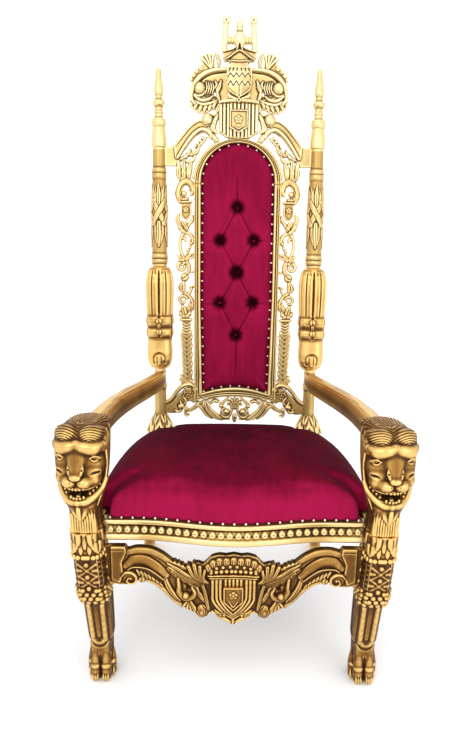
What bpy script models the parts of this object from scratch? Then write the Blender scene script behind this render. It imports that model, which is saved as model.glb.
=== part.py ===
"""Carved lion-head throne armchair, modelled as the separate timbers and pads it is made of.

Metres, +Z up, front of the chair towards -Y. The origin is on the floor under the middle of the chair.
The back panel and its posts lean backwards about a line at seat height, so they are modelled upright
in their own leaning frame and parented to an empty that carries the lean.
"""
import math

import bmesh
import bpy
from mathutils import Vector

MM = 0.001
GAP = 0.3 * MM

# Driving dimensions.
TOTAL_HEIGHT = 1.817
REAR_FOOT_BACK = 0.3970
RAIL_TOP = 0.466
RAIL_BOTTOM = 0.4075
RAIL_THICK = 0.030

# Leaning back: hinge line of the lean, and its angle.
LEAN_Y = 0.240
LEAN_Z = 0.500
LEAN = math.radians(4.5)
POST_X = 0.250
PANEL_THICK = 0.034

# Arched frame and its pad, in the leaning frame.
PAD_HALF = 0.115
PAD_FOOT_HALF = 0.108
PAD_FOOT_Z = 0.644
PAD_RISE = 0.021
ARCH_Z = 1.326
FRAME_HALF = 0.139
FRAME_FOOT_HALF = 0.136
FRAME_ARCH_Z = 1.317

# Front legs, lion heads and arms (right side; the left side is mirrored).
LEG_TOP_Z = 0.455
HEAD_TOP_Z = 0.742
ARM_TOP_Z = 0.722

GOLD = (0.60, 0.40, 0.13)
BROWN_GOLD = (0.36, 0.21, 0.07)
VELVET = (0.42, 0.01, 0.08)
NAIL = (0.70, 0.66, 0.58)
PLYWOOD = (0.55, 0.40, 0.24)
LINING = (0.02, 0.02, 0.02)

parts = None
lean_frame = None


def clear_scene():
    for thing in list(bpy.data.objects):
        bpy.data.objects.remove(thing)


def make_collections():
    global parts, lean_frame
    parts = bpy.data.collections.new("throne_armchair")
    bpy.context.scene.collection.children.link(parts)
    lean_frame = bpy.data.objects.new("lean_frame", None)
    lean_frame.location = (0.0, LEAN_Y, LEAN_Z)
    lean_frame.rotation_euler = (-LEAN, 0.0, 0.0)
    parts.objects.link(lean_frame)


def material(name, colour, roughness, metallic):
    """A Principled material of one colour."""
    made = bpy.data.materials.new(name + "_material")
    made.use_nodes = True
    shader = made.node_tree.nodes["Principled BSDF"]
    shader.inputs["Base Color"].default_value = (*colour, 1.0)
    shader.inputs["Roughness"].default_value = roughness
    shader.inputs["Metallic"].default_value = metallic
    made.diffuse_color = (*colour, 1.0)
    return made


def finish(thing, look, smooth=True):
    """Give a part its own material and, for round shapes, smooth shading."""
    colour, roughness, metallic = look
    thing.data.materials.append(material(thing.name, colour, roughness, metallic))
    if smooth:
        thing.data.shade_smooth()
        thing.data.set_sharp_from_angle(angle=math.radians(35))
    return thing


GILT = (GOLD, 0.35, 0.85)
AGED_GILT = (BROWN_GOLD, 0.40, 0.75)
CLOTH = (VELVET, 0.80, 0.0)
BRASS = (NAIL, 0.30, 1.0)
BOARD = (PLYWOOD, 0.70, 0.0)
BLACK = (LINING, 0.90, 0.0)


def lift(height):
    """Distance up the leaning frame of a point at this world height."""
    return (height - LEAN_Z) / math.cos(LEAN)


def add_mesh(name, bm, look, smooth=True, leaning=False):
    """Put a bmesh into the parts collection as one named object."""
    bmesh.ops.recalc_face_normals(bm, faces=bm.faces)
    mesh = bpy.data.meshes.new(name)
    bm.to_mesh(mesh)
    bm.free()
    thing = bpy.data.objects.new(name, mesh)
    parts.objects.link(thing)
    if leaning:
        thing.parent = lean_frame
    return finish(thing, look, smooth)


def solid_curve(curve_object):
    """Turn a curve into a closed mesh object with its caps welded."""
    name = curve_object.name
    depsgraph = bpy.context.evaluated_depsgraph_get()
    mesh = bpy.data.meshes.new_from_object(curve_object.evaluated_get(depsgraph))
    bm = bmesh.new()
    bm.from_mesh(mesh)
    bmesh.ops.remove_doubles(bm, verts=bm.verts, dist=1e-5)
    bmesh.ops.recalc_face_normals(bm, faces=bm.faces)
    bm.to_mesh(mesh)
    bm.free()
    made = bpy.data.objects.new(name, mesh)
    parent = curve_object.parent
    place = curve_object.matrix_basis.copy()
    bpy.data.objects.remove(curve_object)
    made.name = name
    made.parent = parent
    made.matrix_basis = place
    parts.objects.link(made)
    return made


def plate(name, outline, thickness, look, middle, upright=False):
    """A flat outline of a given thickness.

    Lying: the outline is (x, y) and middle is the height of its mid plane.
    Upright: the outline is (x, height) in the leaning frame and middle is its place front to back.
    """
    curve = bpy.data.curves.new(name, "CURVE")
    curve.dimensions = "2D"
    curve.fill_mode = "BOTH"
    curve.extrude = thickness / 2
    spline = curve.splines.new("POLY")
    spline.points.add(len(outline) - 1)
    for point, (u, v) in zip(spline.points, outline):
        point.co = (u, lift(v) if upright else v, 0.0, 1.0)
    spline.use_cyclic_u = True
    thing = bpy.data.objects.new(name, curve)
    parts.objects.link(thing)
    if upright:
        thing.parent = lean_frame
        thing.rotation_euler = (math.pi / 2, 0.0, 0.0)
        thing.location = (0.0, middle, 0.0)
    else:
        thing.location = (0.0, 0.0, middle)
    return finish(solid_curve(thing), look, smooth=False)


def front_plate(name, outline, thickness, look, middle_y):
    """A vertical plate across the front of the chair: the outline is (x, z)."""
    thing = plate(name, outline, thickness, look, 0.0)
    thing.rotation_euler = (math.pi / 2, 0.0, 0.0)
    thing.location = (0.0, middle_y, 0.0)
    return thing


def rod(name, route, radius, look, closed=False, leaning=False, sides=1):
    """A thin round strip along a route."""
    curve = bpy.data.curves.new(name, "CURVE")
    curve.dimensions = "3D"
    curve.bevel_depth = radius
    curve.bevel_resolution = sides
    curve.use_fill_caps = not closed
    spline = curve.splines.new("POLY")
    spline.points.add(len(route) - 1)
    for point, place in zip(spline.points, route):
        point.co = (*place, 1.0)
    spline.use_cyclic_u = closed
    thing = bpy.data.objects.new(name, curve)
    parts.objects.link(thing)
    if leaning:
        thing.parent = lean_frame
    return finish(solid_curve(thing), look)


def turned(name, profile, place, look, leaning=False, steps=20, tilt=None):
    """A lathe-turned piece: profile is (radius, height) from top to bottom."""
    bm = bmesh.new()
    verts = [bm.verts.new((radius, 0.0, height)) for radius, height in profile]
    for upper, lower in zip(verts, verts[1:]):
        bm.edges.new((upper, lower))
    mesh = bpy.data.meshes.new(name)
    bm.to_mesh(mesh)
    bm.free()
    thing = bpy.data.objects.new(name, mesh)
    parts.objects.link(thing)
    screw = thing.modifiers.new("Turn", "SCREW")
    screw.axis = "Z"
    screw.steps = steps
    screw.render_steps = steps
    screw.use_merge_vertices = True
    screw.merge_threshold = 0.00005
    thing.location = place
    if tilt:
        thing.rotation_euler = tilt
    if leaning:
        thing.parent = lean_frame
    finish(thing, look)
    screw.use_smooth_shade = True
    return thing


def ring(centre, half_x, half_y, corner=2.6, count=12):
    """A level rounded-square ring of points round a centre (x, y, z)."""
    points = []
    for step in range(count):
        angle = 2 * math.pi * (step + 0.5) / count
        c = math.cos(angle)
        s = math.sin(angle)
        x = half_x * math.copysign(abs(c) ** (2 / corner), c)
        y = half_y * math.copysign(abs(s) ** (2 / corner), s)
        points.append(Vector((centre[0] + x, centre[1] + y, centre[2])))
    return points


def loft(name, rings, look, side=1.0, leaning=False, smooth=True):
    """Skin a stack of unlike sections and cap both ends. side -1 mirrors the piece in X."""
    bm = bmesh.new()
    loops = []
    for points in rings:
        loops.append([bm.verts.new((side * p[0], p[1], p[2])) for p in points])
    count = len(loops[0])
    for low, high in zip(loops, loops[1:]):
        for i in range(count):
            j = (i + 1) % count
            bm.faces.new((low[i], low[j], high[j], high[i]))
    bm.faces.new(loops[0])
    bm.faces.new(loops[-1])
    bmesh.ops.triangulate(bm, faces=[f for f in bm.faces if len(f.verts) > 4])
    return add_mesh(name, bm, look, smooth, leaning)


def arc(centre, radius, start, end, count):
    """Points on a circle in a flat outline; angles in degrees."""
    points = []
    for step in range(count + 1):
        angle = math.radians(start + (end - start) * step / count)
        points.append((centre[0] + radius * math.cos(angle), centre[1] + radius * math.sin(angle)))
    return points


def mirrored(outline, side):
    return [(side * x, y) for x, y in outline]


# ---- seat plan ---------------------------------------------------------------------------------

FRONT_BOW = 0.030
FRONT_END_Y = -0.330
FRONT_HALF = 0.3412
CUSHION_FRONT_HALF = 0.330
LEG_BACK_Y = -0.2805
REAR_LEG_FRONT_Y = 0.2142
REAR_LEG_INNER_X = 0.2235
CUP_FOOT_Z = RAIL_TOP + 0.030


def front_line(x, inset=0.0):
    """The bowed front edge of the seat: its Y at a given X."""
    reach = min(1.0, abs(x) / 0.250)
    return FRONT_END_Y - FRONT_BOW * 0.5 * (1 + math.cos(math.pi * reach)) + inset


def side_line(t, inset=0.0):
    """The seat side from behind the front leg (t=0) to the rear leg (t=1), as a smooth bow."""
    nodes = [(0.374, LEG_BACK_Y), (0.362, -0.070), (0.352, 0.125), (0.262, REAR_LEG_FRONT_Y)]
    weights = [(1 - t) ** 3, 3 * t * (1 - t) ** 2, 3 * t * t * (1 - t), t ** 3]
    x = sum(w * n[0] for w, n in zip(weights, nodes))
    y = sum(w * n[1] for w, n in zip(weights, nodes))
    return x - inset, y


def seat_outline(inset, steps=10):
    """The whole seat edge, anticlockwise from the left front corner, notched round the four legs."""
    half = CUSHION_FRONT_HALF - inset
    notch_y = LEG_BACK_Y + 0.008 + inset
    rear_notch_y = REAR_LEG_FRONT_Y - 0.004 - inset
    rear_half = REAR_LEG_INNER_X - inset
    rear_y = 0.240 - inset
    xs = [half * (2 * i / 12 - 1) for i in range(13)]
    front = [(x, front_line(x, inset)) for x in xs]
    right = [(half, notch_y)]
    for i in range(steps + 1):
        x, y = side_line(i / steps, inset)
        right.append((x, min(max(y, notch_y), rear_notch_y)))
    right.append((rear_half, rear_notch_y))
    rear = [(rear_half, rear_y), (0.0, rear_y + 0.006), (-rear_half, rear_y)]
    left = [(-x, y) for x, y in reversed(right)]
    return front + right + rear + left


def build_seat_frame():
    height = RAIL_TOP - RAIL_BOTTOM
    middle = (RAIL_TOP + RAIL_BOTTOM) / 2
    xs = [FRONT_HALF * (2 * i / 14 - 1) for i in range(15)]
    outer = [(x, front_line(x)) for x in xs]
    inner = [(x, front_line(x) + RAIL_THICK) for x in reversed(xs)]
    plate("front_rail", outer + inner, height, GILT, middle)
    bead_route = [(x, front_line(x) - 0.0083, RAIL_TOP - 0.024) for x in xs]
    rod("bead_moulding", bead_route, 0.0078, GILT)
    for tag, side in (("l", -1), ("r", 1)):
        steps = [i / 10 for i in range(11)]
        outer = [side_line(t) for t in steps]
        inner = [side_line(t, RAIL_THICK) for t in reversed(steps)]
        plate("side_rail_" + tag, mirrored(outer + inner, side), height, GILT, middle)
    rear = [(-0.2240, 0.226), (0.2240, 0.226), (0.2240, 0.258), (-0.2240, 0.258)]
    plate("rear_rail", rear, height, GILT, middle)


def build_corner_blocks():
    """Three-cornered blocks that brace the rails at each leg."""
    middle = (RAIL_TOP + RAIL_BOTTOM) / 2 - 0.006
    for tag, side in (("l", -1), ("r", 1)):
        front = [(0.3395, -0.2985), (0.3395, -0.2250), (0.2650, -0.2985)]
        rear = [(0.2235, 0.2245), (0.1600, 0.2245), (0.2235, 0.1700)]
        plate("corner_block_f" + tag, mirrored(front, side), 0.040, BOARD, middle)
        plate("corner_block_r" + tag, mirrored(rear, side), 0.040, BOARD, middle)


def shrink(outline, factor, centre):
    return [(centre[0] + (x - centre[0]) * factor, centre[1] + (y - centre[1]) * factor) for x, y in outline]


def clear_of_post(outline, radius=0.052):
    """Hollow the outline round the leaf cup at the foot of each post."""
    out = []
    for x, y in outline:
        away = Vector((abs(x) - POST_X, y - LEAN_Y))
        if away.length < radius:
            away = away.normalized() * radius
        out.append((math.copysign(POST_X + away.x, x) if x else 0.0, LEAN_Y + away.y))
    return out


def build_seat():
    deck = seat_outline(0.044)
    plate("seat_deck", deck, 0.012, BOARD, RAIL_TOP - 0.0066)
    centre = (0.0, -0.030)
    base = seat_outline(0.0045)
    levels = [
        (1.000, RAIL_TOP + 0.0004),
        (1.004, RAIL_TOP + 0.022),
        (1.000, RAIL_TOP + 0.032),
        (0.998, RAIL_TOP + 0.048),
        (0.970, RAIL_TOP + 0.067),
        (0.905, RAIL_TOP + 0.081),
        (0.780, RAIL_TOP + 0.090),
        (0.560, RAIL_TOP + 0.095),
        (0.300, RAIL_TOP + 0.098),
        (0.120, RAIL_TOP + 0.099),
    ]
    rings = []
    for factor, height in levels:
        outline = shrink(base, factor, centre)
        if height > CUP_FOOT_Z:
            outline = clear_of_post(outline)
        rings.append([Vector((x, y, height)) for x, y in outline])
    loft("seat_cushion", rings, CLOTH)
    nail_route = []
    for i in range(15):
        x = 0.326 * (2 * i / 14 - 1)
        nail_route.append((x, front_line(x) - 0.0035, RAIL_TOP + 0.0062))
    rod("seat_nail_strip", nail_route, 0.0030, BRASS)
    lining = seat_outline(0.012)
    plate("dust_cover", lining, 0.0016, BLACK, RAIL_BOTTOM - 0.0012)


# ---- legs, lion heads and arms -----------------------------------------------------------------


def build_front_leg(tag, side):
    """Knee block, fluted shank and paw as one timber, from the floor up."""
    sections = [
        # x, y, z, half width, half depth
        (0.357, -0.322, 0.000, 0.037, 0.044),
        (0.357, -0.324, 0.014, 0.040, 0.049),
        (0.357, -0.323, 0.040, 0.038, 0.046),
        (0.357, -0.322, 0.072, 0.030, 0.038),
        (0.357, -0.323, 0.105, 0.027, 0.036),
        (0.358, -0.325, 0.170, 0.030, 0.042),
        (0.362, -0.326, 0.235, 0.033, 0.047),
        (0.370, -0.330, 0.262, 0.036, 0.052),
        (0.374, -0.332, 0.310, 0.037, 0.053),
        (0.378, -0.334, 0.392, 0.037, 0.053),
        (0.380, -0.335, LEG_TOP_Z - GAP, 0.036, 0.052),
    ]
    rings = [ring((x, y, z), a, b, 3.0) for x, y, z, a, b in sections]
    return loft("front_leg_" + tag, rings, AGED_GILT, side)


def build_lion_head(tag, side):
    """Neck, muzzle and mane as one carved block on top of the front leg."""
    sections = [
        (0.380, -0.335, LEG_TOP_Z, 0.036, 0.052),
        (0.379, -0.334, 0.500, 0.040, 0.056),
        (0.377, -0.330, 0.540, 0.052, 0.066),
        (0.376, -0.322, 0.580, 0.062, 0.076),
        (0.375, -0.318, 0.630, 0.072, 0.079),
        (0.375, -0.310, 0.680, 0.076, 0.082),
        (0.375, -0.300, 0.708, 0.072, 0.080),
        (0.375, -0.292, 0.730, 0.060, 0.068),
        (0.375, -0.288, HEAD_TOP_Z, 0.036, 0.046),
    ]
    rings = [ring((x, y, z), a, b, 2.6) for x, y, z, a, b in sections]
    return loft("lion_head_" + tag, rings, AGED_GILT, side)


ARM_ROUTE = [(0.250, 0.2325), (0.284, 0.115), (0.316, 0.030), (0.344, -0.060), (0.360, -0.140), (0.369, -0.2165)]
ARM_HALF_WIDTH = [0.0190, 0.0225, 0.0245, 0.0255, 0.0270, 0.0280]
ARM_HALF_HEIGHT = [0.0270, 0.0290, 0.0300, 0.0310, 0.0320, 0.0320]


def build_arm(tag, side):
    """Arm rail swept from the post to the back of the lion head."""
    rings = []
    last = len(ARM_ROUTE) - 1
    for i, (x, y) in enumerate(ARM_ROUTE):
        before = Vector(ARM_ROUTE[max(0, i - 1)])
        after = Vector(ARM_ROUTE[min(last, i + 1)])
        along = (after - before).normalized()
        if i in (0, last):
            along = Vector((0.0, -1.0))
        across = Vector((-along.y, along.x))
        points = []
        for step in range(12):
            angle = 2 * math.pi * (step + 0.5) / 12
            c = math.cos(angle)
            s = math.sin(angle)
            u = ARM_HALF_WIDTH[i] * math.copysign(abs(c) ** 0.72, c)
            v = ARM_HALF_HEIGHT[i] * math.copysign(abs(s) ** 0.72, s)
            points.append((x + across.x * u, y + across.y * u, ARM_TOP_Z - ARM_HALF_HEIGHT[i] - 0.002 + v))
        rings.append(points)
    return loft("arm_" + tag, rings, AGED_GILT, side)


def build_rear_leg(tag, side):
    """Raked and splayed rear leg, square in section, ending in the block that carries the post."""
    foot = (0.316, REAR_FOOT_BACK - 0.0249)
    top_z = LEAN_Z - 0.0004
    rings = []
    stages = [(0.0, 0.020, 0.024), (0.12, 0.021, 0.024), (0.25, 0.023, 0.025), (0.36, 0.024, 0.0255)]
    for z, half_x, half_y in stages:
        t = z / RAIL_BOTTOM
        ease = (1 - t) ** 1.5
        x = POST_X + (foot[0] - POST_X) * ease
        y = LEAN_Y + (foot[1] - LEAN_Y) * ease
        rings.append(ring((x, y, z), half_x, half_y, 7.0))
    for z in (RAIL_BOTTOM, top_z):
        rings.append(ring((POST_X, LEAN_Y, z), 0.0250, 0.0255, 7.0))
    return loft("rear_leg_" + tag, rings, AGED_GILT, side)


APRON_Y = -0.337
APRON_THICK = 0.030
BADGE_THICK = 0.006


def build_apron():
    """Shaped apron between the front legs, scrolled ends and a shell drop in the middle."""
    right = [
        (0.3410, 0.392),
        (0.3356, 0.286),
        (0.296, 0.281),
        (0.270, 0.296),
        (0.238, 0.330),
        (0.205, 0.340),
        (0.178, 0.322),
        (0.165, 0.286),
        (0.145, 0.252),
        (0.118, 0.232),
        (0.089, 0.190),
        (0.045, 0.180),
        (0.014, 0.168),
    ]
    right_top = [
        (0.058, 0.381),
        (0.070, 0.360),
        (0.110, 0.352),
        (0.160, 0.362),
        (0.200, 0.386),
        (0.240, 0.388),
        (0.280, 0.380),
    ]
    left = [(-x, z) for x, z in reversed(right)]
    left_top = [(-x, z) for x, z in reversed(right_top)]
    outline = right + left + left_top + right_top
    front_plate("apron", outline, APRON_THICK, GILT, APRON_Y)
    badge = [(-0.026, 0.283), (0.026, 0.283), (0.026, 0.240), (0.0, 0.214), (-0.026, 0.240)]
    front_plate("apron_badge", badge, BADGE_THICK, GILT, APRON_Y - (APRON_THICK + BADGE_THICK) / 2 - GAP)


# ---- posts -------------------------------------------------------------------------------------


def build_post(tag, side):
    """Leaf cup and column, reed bundle, carved shaft and finial, stacked on one leaning axis."""
    place = (side * POST_X, 0.0, 0.0)
    foot = [
        (0.0, 0.7227),
        (0.0193, 0.7227),
        (0.0193, 0.568),
        (0.0280, 0.552),
        (0.0400, 0.528),
        (0.0440, 0.504),
        (0.0, 0.504),
    ]
    shaft = [
        (0.0, 1.4267),
        (0.0196, 1.4267),
        (0.0197, 1.368),
        (0.0232, 1.360),
        (0.0232, 1.338),
        (0.0223, 1.323),
        (0.0248, 1.208),
        (0.0247, 1.101),
        (0.0266, 1.094),
        (0.0266, 1.074),
        (0.0238, 1.0595),
        (0.0, 1.0595),
    ]
    finial = [
        (0.0, 1.663),
        (0.0030, 1.660),
        (0.0080, 1.640),
        (0.0146, 1.598),
        (0.0108, 1.578),
        (0.0200, 1.560),
        (0.0116, 1.548),
        (0.0150, 1.535),
        (0.0128, 1.524),
        (0.0169, 1.516),
        (0.0235, 1.502),
        (0.0195, 1.489),
        (0.0205, 1.470),
        (0.0241, 1.444),
        (0.0227, 1.4273),
        (0.0, 1.4273),
    ]
    for name, profile in (("post_foot_", foot), ("post_shaft_", shaft), ("finial_", finial)):
        lifted = [(radius, lift(height)) for radius, height in profile]
        turned(name + tag, lifted, place, GILT, leaning=True)
    bundle = [
        (0.7230, 0.0190),
        (0.7420, 0.0370),
        (0.7740, 0.0440),
        (0.8200, 0.0425),
        (0.8440, 0.0458),
        (0.8620, 0.0431),
        (0.8830, 0.0463),
        (0.9030, 0.0446),
        (0.9820, 0.0460),
        (1.0270, 0.0440),
        (1.0480, 0.0340),
        (1.0592, 0.0240),
    ]
    rings = []
    for height, half in bundle:
        rings.append(ring((POST_X, 0.0, lift(height)), half, half * 0.80, 2.8))
    loft("post_bundle_" + tag, rings, GILT, side, leaning=True)


# ---- back panel --------------------------------------------------------------------------------


def pad_outline(inset, count=12):
    """Arched outline of the pad: straight sides, round head, arched foot."""
    half = PAD_HALF - inset
    foot = PAD_FOOT_HALF - inset
    points = []
    for i in range(9):
        u = 2 * i / 8 - 1
        points.append((foot * u, PAD_FOOT_Z + inset + PAD_RISE * (1 - u * u)))
    points += [(half - 0.004, 0.780), (half, 0.952), (half, 1.140)]
    points += arc((0.0, ARCH_Z), half, 0, 180, count)
    points += [(-half, 1.140), (-half, 0.952), (-half + 0.004, 0.780)]
    return points


def build_back_frame():
    for tag, side in (("l", -1), ("r", 1)):
        stile = [
            (PAD_FOOT_HALF + 0.0004, 0.6490),
            (FRAME_FOOT_HALF, 0.6490),
            (FRAME_HALF, FRAME_ARCH_Z - GAP),
            (PAD_HALF, FRAME_ARCH_Z - GAP),
            (PAD_HALF, 0.952),
            (PAD_HALF - 0.004, 0.780),
        ]
        plate("back_stile_" + tag, mirrored(stile, side), PANEL_THICK, GILT, 0.0, upright=True)
    outer = arc((0.0, FRAME_ARCH_Z), FRAME_HALF, 0, 180, 20)
    inner = arc((0.0, ARCH_Z), PAD_HALF, 180, 0, 16)
    inner = [(-PAD_HALF, FRAME_ARCH_Z)] + inner + [(PAD_HALF, FRAME_ARCH_Z)]
    plate("back_arch", outer + inner, PANEL_THICK, GILT, 0.0, upright=True)
    top = []
    bottom = []
    for i in range(9):
        u = 2 * i / 8 - 1
        top.append((PAD_FOOT_HALF * u, PAD_FOOT_Z + PAD_RISE * (1 - u * u)))
        bottom.append((-0.132 * u, 0.612 + PAD_RISE * (1 - u * u)))
    rail = [(-FRAME_FOOT_HALF, PAD_FOOT_Z)] + top + [(FRAME_FOOT_HALF, PAD_FOOT_Z)]
    plate("back_lower_rail", rail + bottom, PANEL_THICK, GILT, 0.0, upright=True)


BUTTONS = [(0.0, 1.245), (-0.054, 1.142), (0.054, 1.142), (0.0, 1.040), (-0.054, 0.943), (0.054, 0.943), (0.0, 0.837)]
PAD_FRONT = -0.030


def build_back_pad():
    """Backboard, crowned velvet pad, its seven covered buttons and the nail line round it."""
    plate("backboard", pad_outline(0.0006), 0.008, CLOTH, 0.0125, upright=True)
    rings = []
    levels = [(0.0006, 0.0080), (0.0006, -0.0120), (0.0040, -0.0190), (0.0120, -0.0240), (0.0300, PAD_FRONT)]
    for inset, front in levels:
        rings.append([Vector((x, front, lift(z))) for x, z in pad_outline(inset)])
    loft("back_pad", rings, CLOTH, leaning=True)
    for number, (x, height) in enumerate(BUTTONS, start=1):
        profile = [(0.0, 0.0045), (0.0060, 0.0035), (0.0085, 0.0), (0.0, 0.0)]
        place = (x, PAD_FRONT - 0.0004, lift(height))
        turned("back_button_%d" % number, profile, place, CLOTH, leaning=True, steps=12, tilt=(math.pi / 2, 0, 0))
    route = [(x, -0.0205, lift(z)) for x, z in pad_outline(-0.0015)]
    rod("back_nail_strip", route, 0.0030, BRASS, closed=True, leaning=True)


def build_back_carvings():
    """Side frets, shoulders, brackets and the shell under the pad frame."""
    for tag, side in (("l", -1), ("r", 1)):
        fret = [
            (0.1480, 0.6900),
            (0.1720, 0.6900),
            (0.1770, 0.8200),
            (0.1800, 1.0000),
            (0.1830, 1.1110),
            (0.1900, 1.2990),
            (0.1920, 1.3690),
            (0.1480, 1.3240),
        ]
        plate("fret_" + tag, mirrored(fret, side), 0.020, GILT, 0.0, upright=True)
        shoulder = [
            (0.1465, 1.3245),
            (0.1960, 1.3750),
            (0.2300, 1.3680),
            (0.2300, 1.4180),
            (0.2020, 1.4320),
            (0.1640, 1.4900),
            (0.1180, 1.5120),
            (0.0900, 1.4960),
            (0.0640, 1.4640),
        ]
        rim = [(0.0, FRAME_ARCH_Z), FRAME_HALF + GAP]
        shoulder += arc(rim[0], rim[1], 62, 6, 8)
        plate("crest_shoulder_" + tag, mirrored(shoulder, side), 0.030, GILT, 0.0, upright=True)
        bracket = [
            (0.1400, 0.6890),
            (0.1400, 0.6120),
            (0.1345, 0.6110),
            (0.1240, 0.5830),
            (0.1480, 0.5760),
            (0.1640, 0.5620),
            (0.1860, 0.5680),
            (0.2300, 0.5700),
            (0.2300, 0.6110),
            (0.2080, 0.6200),
            (0.1760, 0.6890),
        ]
        plate("lower_bracket_" + tag, mirrored(bracket, side), 0.030, GILT, 0.0, upright=True)
    top = []
    for i in range(9):
        u = 2 * i / 8 - 1
        top.append((0.128 * u, 0.6105 + PAD_RISE * (1 - u * u)))
    shell = [(-0.1236, 0.5850), (-0.085, 0.550), (-0.045, 0.544), (0.0, 0.548)]
    shell += [(0.045, 0.544), (0.085, 0.550), (0.1236, 0.5850)]
    plate("lower_shell", list(reversed(top)) + shell, 0.026, GILT, 0.0, upright=True)


# ---- crest -------------------------------------------------------------------------------------


def build_crest():
    half_thick = 0.015
    cartouche = [(-0.060, 1.4660), (-0.034, 1.4566), (0.034, 1.4566), (0.060, 1.4660)]
    cartouche += [(0.062, 1.500), (0.062, 1.5565), (-0.062, 1.5565), (-0.062, 1.500)]
    plate("crest_cartouche", cartouche, 2 * half_thick, GILT, -0.004, upright=True)
    badge = [(-0.028, 1.539), (0.028, 1.539), (0.028, 1.488), (0.0, 1.472), (-0.028, 1.488)]
    plate("crest_badge", badge, 0.006, GILT, -0.004 - half_thick - 0.0033, upright=True)
    right = [
        (0.062, 1.557),
        (0.100, 1.530),
        (0.135, 1.548),
        (0.151, 1.600),
        (0.140, 1.645),
        (0.115, 1.668),
        (0.102, 1.700),
        (0.080, 1.702),
        (0.060, 1.690),
        (0.050, 1.665),
    ]
    left = [(-x, z) for x, z in reversed(right)]
    plate("crest_mantling", right + left, 0.022, GILT, 0.008, upright=True)
    shield = [(-0.035, 1.664), (0.035, 1.664), (0.035, 1.615), (0.024, 1.590), (0.0, 1.575)]
    shield += [(-0.024, 1.590), (-0.035, 1.615)]
    plate("crest_shield", list(reversed(shield)), 0.012, GILT, 0.008 - 0.011 - 0.0063, upright=True)
    crown = [
        (0.0, 1.716),
        (0.044, 1.714),
        (0.052, 1.700),
        (0.040, 1.690),
        (0.030, 1.685),
        (0.029, 1.6655),
        (0.0, 1.6655),
    ]
    turned("crest_crown", [(r, lift(z)) for r, z in crown], (0.0, 0.006, 0.0), GILT, leaning=True)
    bpy.data.objects["crest_crown"].scale = (1.0, 0.55, 1.0)
    horn = [
        (0.0, TOTAL_HEIGHT - 0.001),
        (0.0080, TOTAL_HEIGHT - 0.004),
        (0.0115, TOTAL_HEIGHT - 0.014),
        (0.0090, TOTAL_HEIGHT - 0.024),
        (0.0100, 1.750),
        (0.0095, 1.7165),
        (0.0, 1.7165),
    ]
    for tag, side in (("l", -1), ("r", 1)):
        place = (side * 0.0435, 0.006, 0.0)
        turned("crest_horn_" + tag, [(r, lift(z)) for r, z in horn], place, GILT, leaning=True, steps=14)
    ball = [
        (0.0, 1.805),
        (0.0060, 1.801),
        (0.0110, 1.785),
        (0.0120, 1.770),
        (0.0190, 1.758),
        (0.0215, 1.740),
        (0.0180, 1.725),
        (0.0100, 1.7165),
        (0.0, 1.7165),
    ]
    turned("crest_ball", [(r, lift(z)) for r, z in ball], (0.0, 0.006, 0.0), GILT, leaning=True, steps=16)


def build_all():
    clear_scene()
    make_collections()
    build_seat_frame()
    build_corner_blocks()
    build_seat()
    for tag, side in (("l", -1.0), ("r", 1.0)):
        build_front_leg(tag, side)
        build_lion_head(tag, side)
        build_arm(tag, side)
        build_rear_leg(tag, side)
        build_post(tag, side)
    build_apron()
    build_back_frame()
    build_back_pad()
    build_back_carvings()
    build_crest()


build_all()
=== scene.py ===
"""Looks of the carved lion-head throne armchair: carved and gilded wood, velvet pads, nails, floor and light.

Carvings are worked in millimetres as signed fields on a grid and skinned, so every leaf, bead and lock of
hair is real geometry. The posts are turned surfaces with carved relief. The seat is blown up as cloth and
the back pad is tufted by a height formula.
"""
import math

import bpy
import numpy as np
from mathutils import Matrix, Vector


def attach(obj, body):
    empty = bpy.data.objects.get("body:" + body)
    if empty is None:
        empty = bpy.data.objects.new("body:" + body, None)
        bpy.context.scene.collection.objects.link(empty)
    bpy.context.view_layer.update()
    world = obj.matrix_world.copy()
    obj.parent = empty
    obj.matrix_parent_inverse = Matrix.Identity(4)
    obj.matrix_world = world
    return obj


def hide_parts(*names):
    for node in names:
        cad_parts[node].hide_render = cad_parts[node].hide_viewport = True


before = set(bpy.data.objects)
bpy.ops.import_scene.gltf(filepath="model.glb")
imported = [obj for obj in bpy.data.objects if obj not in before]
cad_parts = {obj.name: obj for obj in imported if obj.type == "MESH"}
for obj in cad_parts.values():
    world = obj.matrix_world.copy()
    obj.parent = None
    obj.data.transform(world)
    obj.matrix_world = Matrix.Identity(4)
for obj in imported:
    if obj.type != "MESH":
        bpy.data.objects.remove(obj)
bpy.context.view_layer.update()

MM = 0.001
DEEPER = -0.14
FAR = 1.0e3

# The back leans about a line at seat height; back pieces are carved upright and then leaned.
LEAN = math.radians(4.5)
LEAN_Y = 240.0
LEAN_Z = 500.0
POST_X = 250.0
PAD_HALF = 115.0
PAD_FOOT_HALF = 108.0
PAD_FOOT_Z = 644.0
PAD_RISE = 21.0
ARCH_Z = 1326.0
FRAME_HALF = 139.0
FRAME_FOOT_HALF = 136.0
FRAME_ARCH_Z = 1317.0


# ---- small maths ---------------------------------------------------------------------------------


def smoothstep(value, start=0.0, end=1.0):
    t = np.clip((value - start) / (end - start), 0.0, 1.0)
    return t * t * (3.0 - 2.0 * t)


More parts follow.
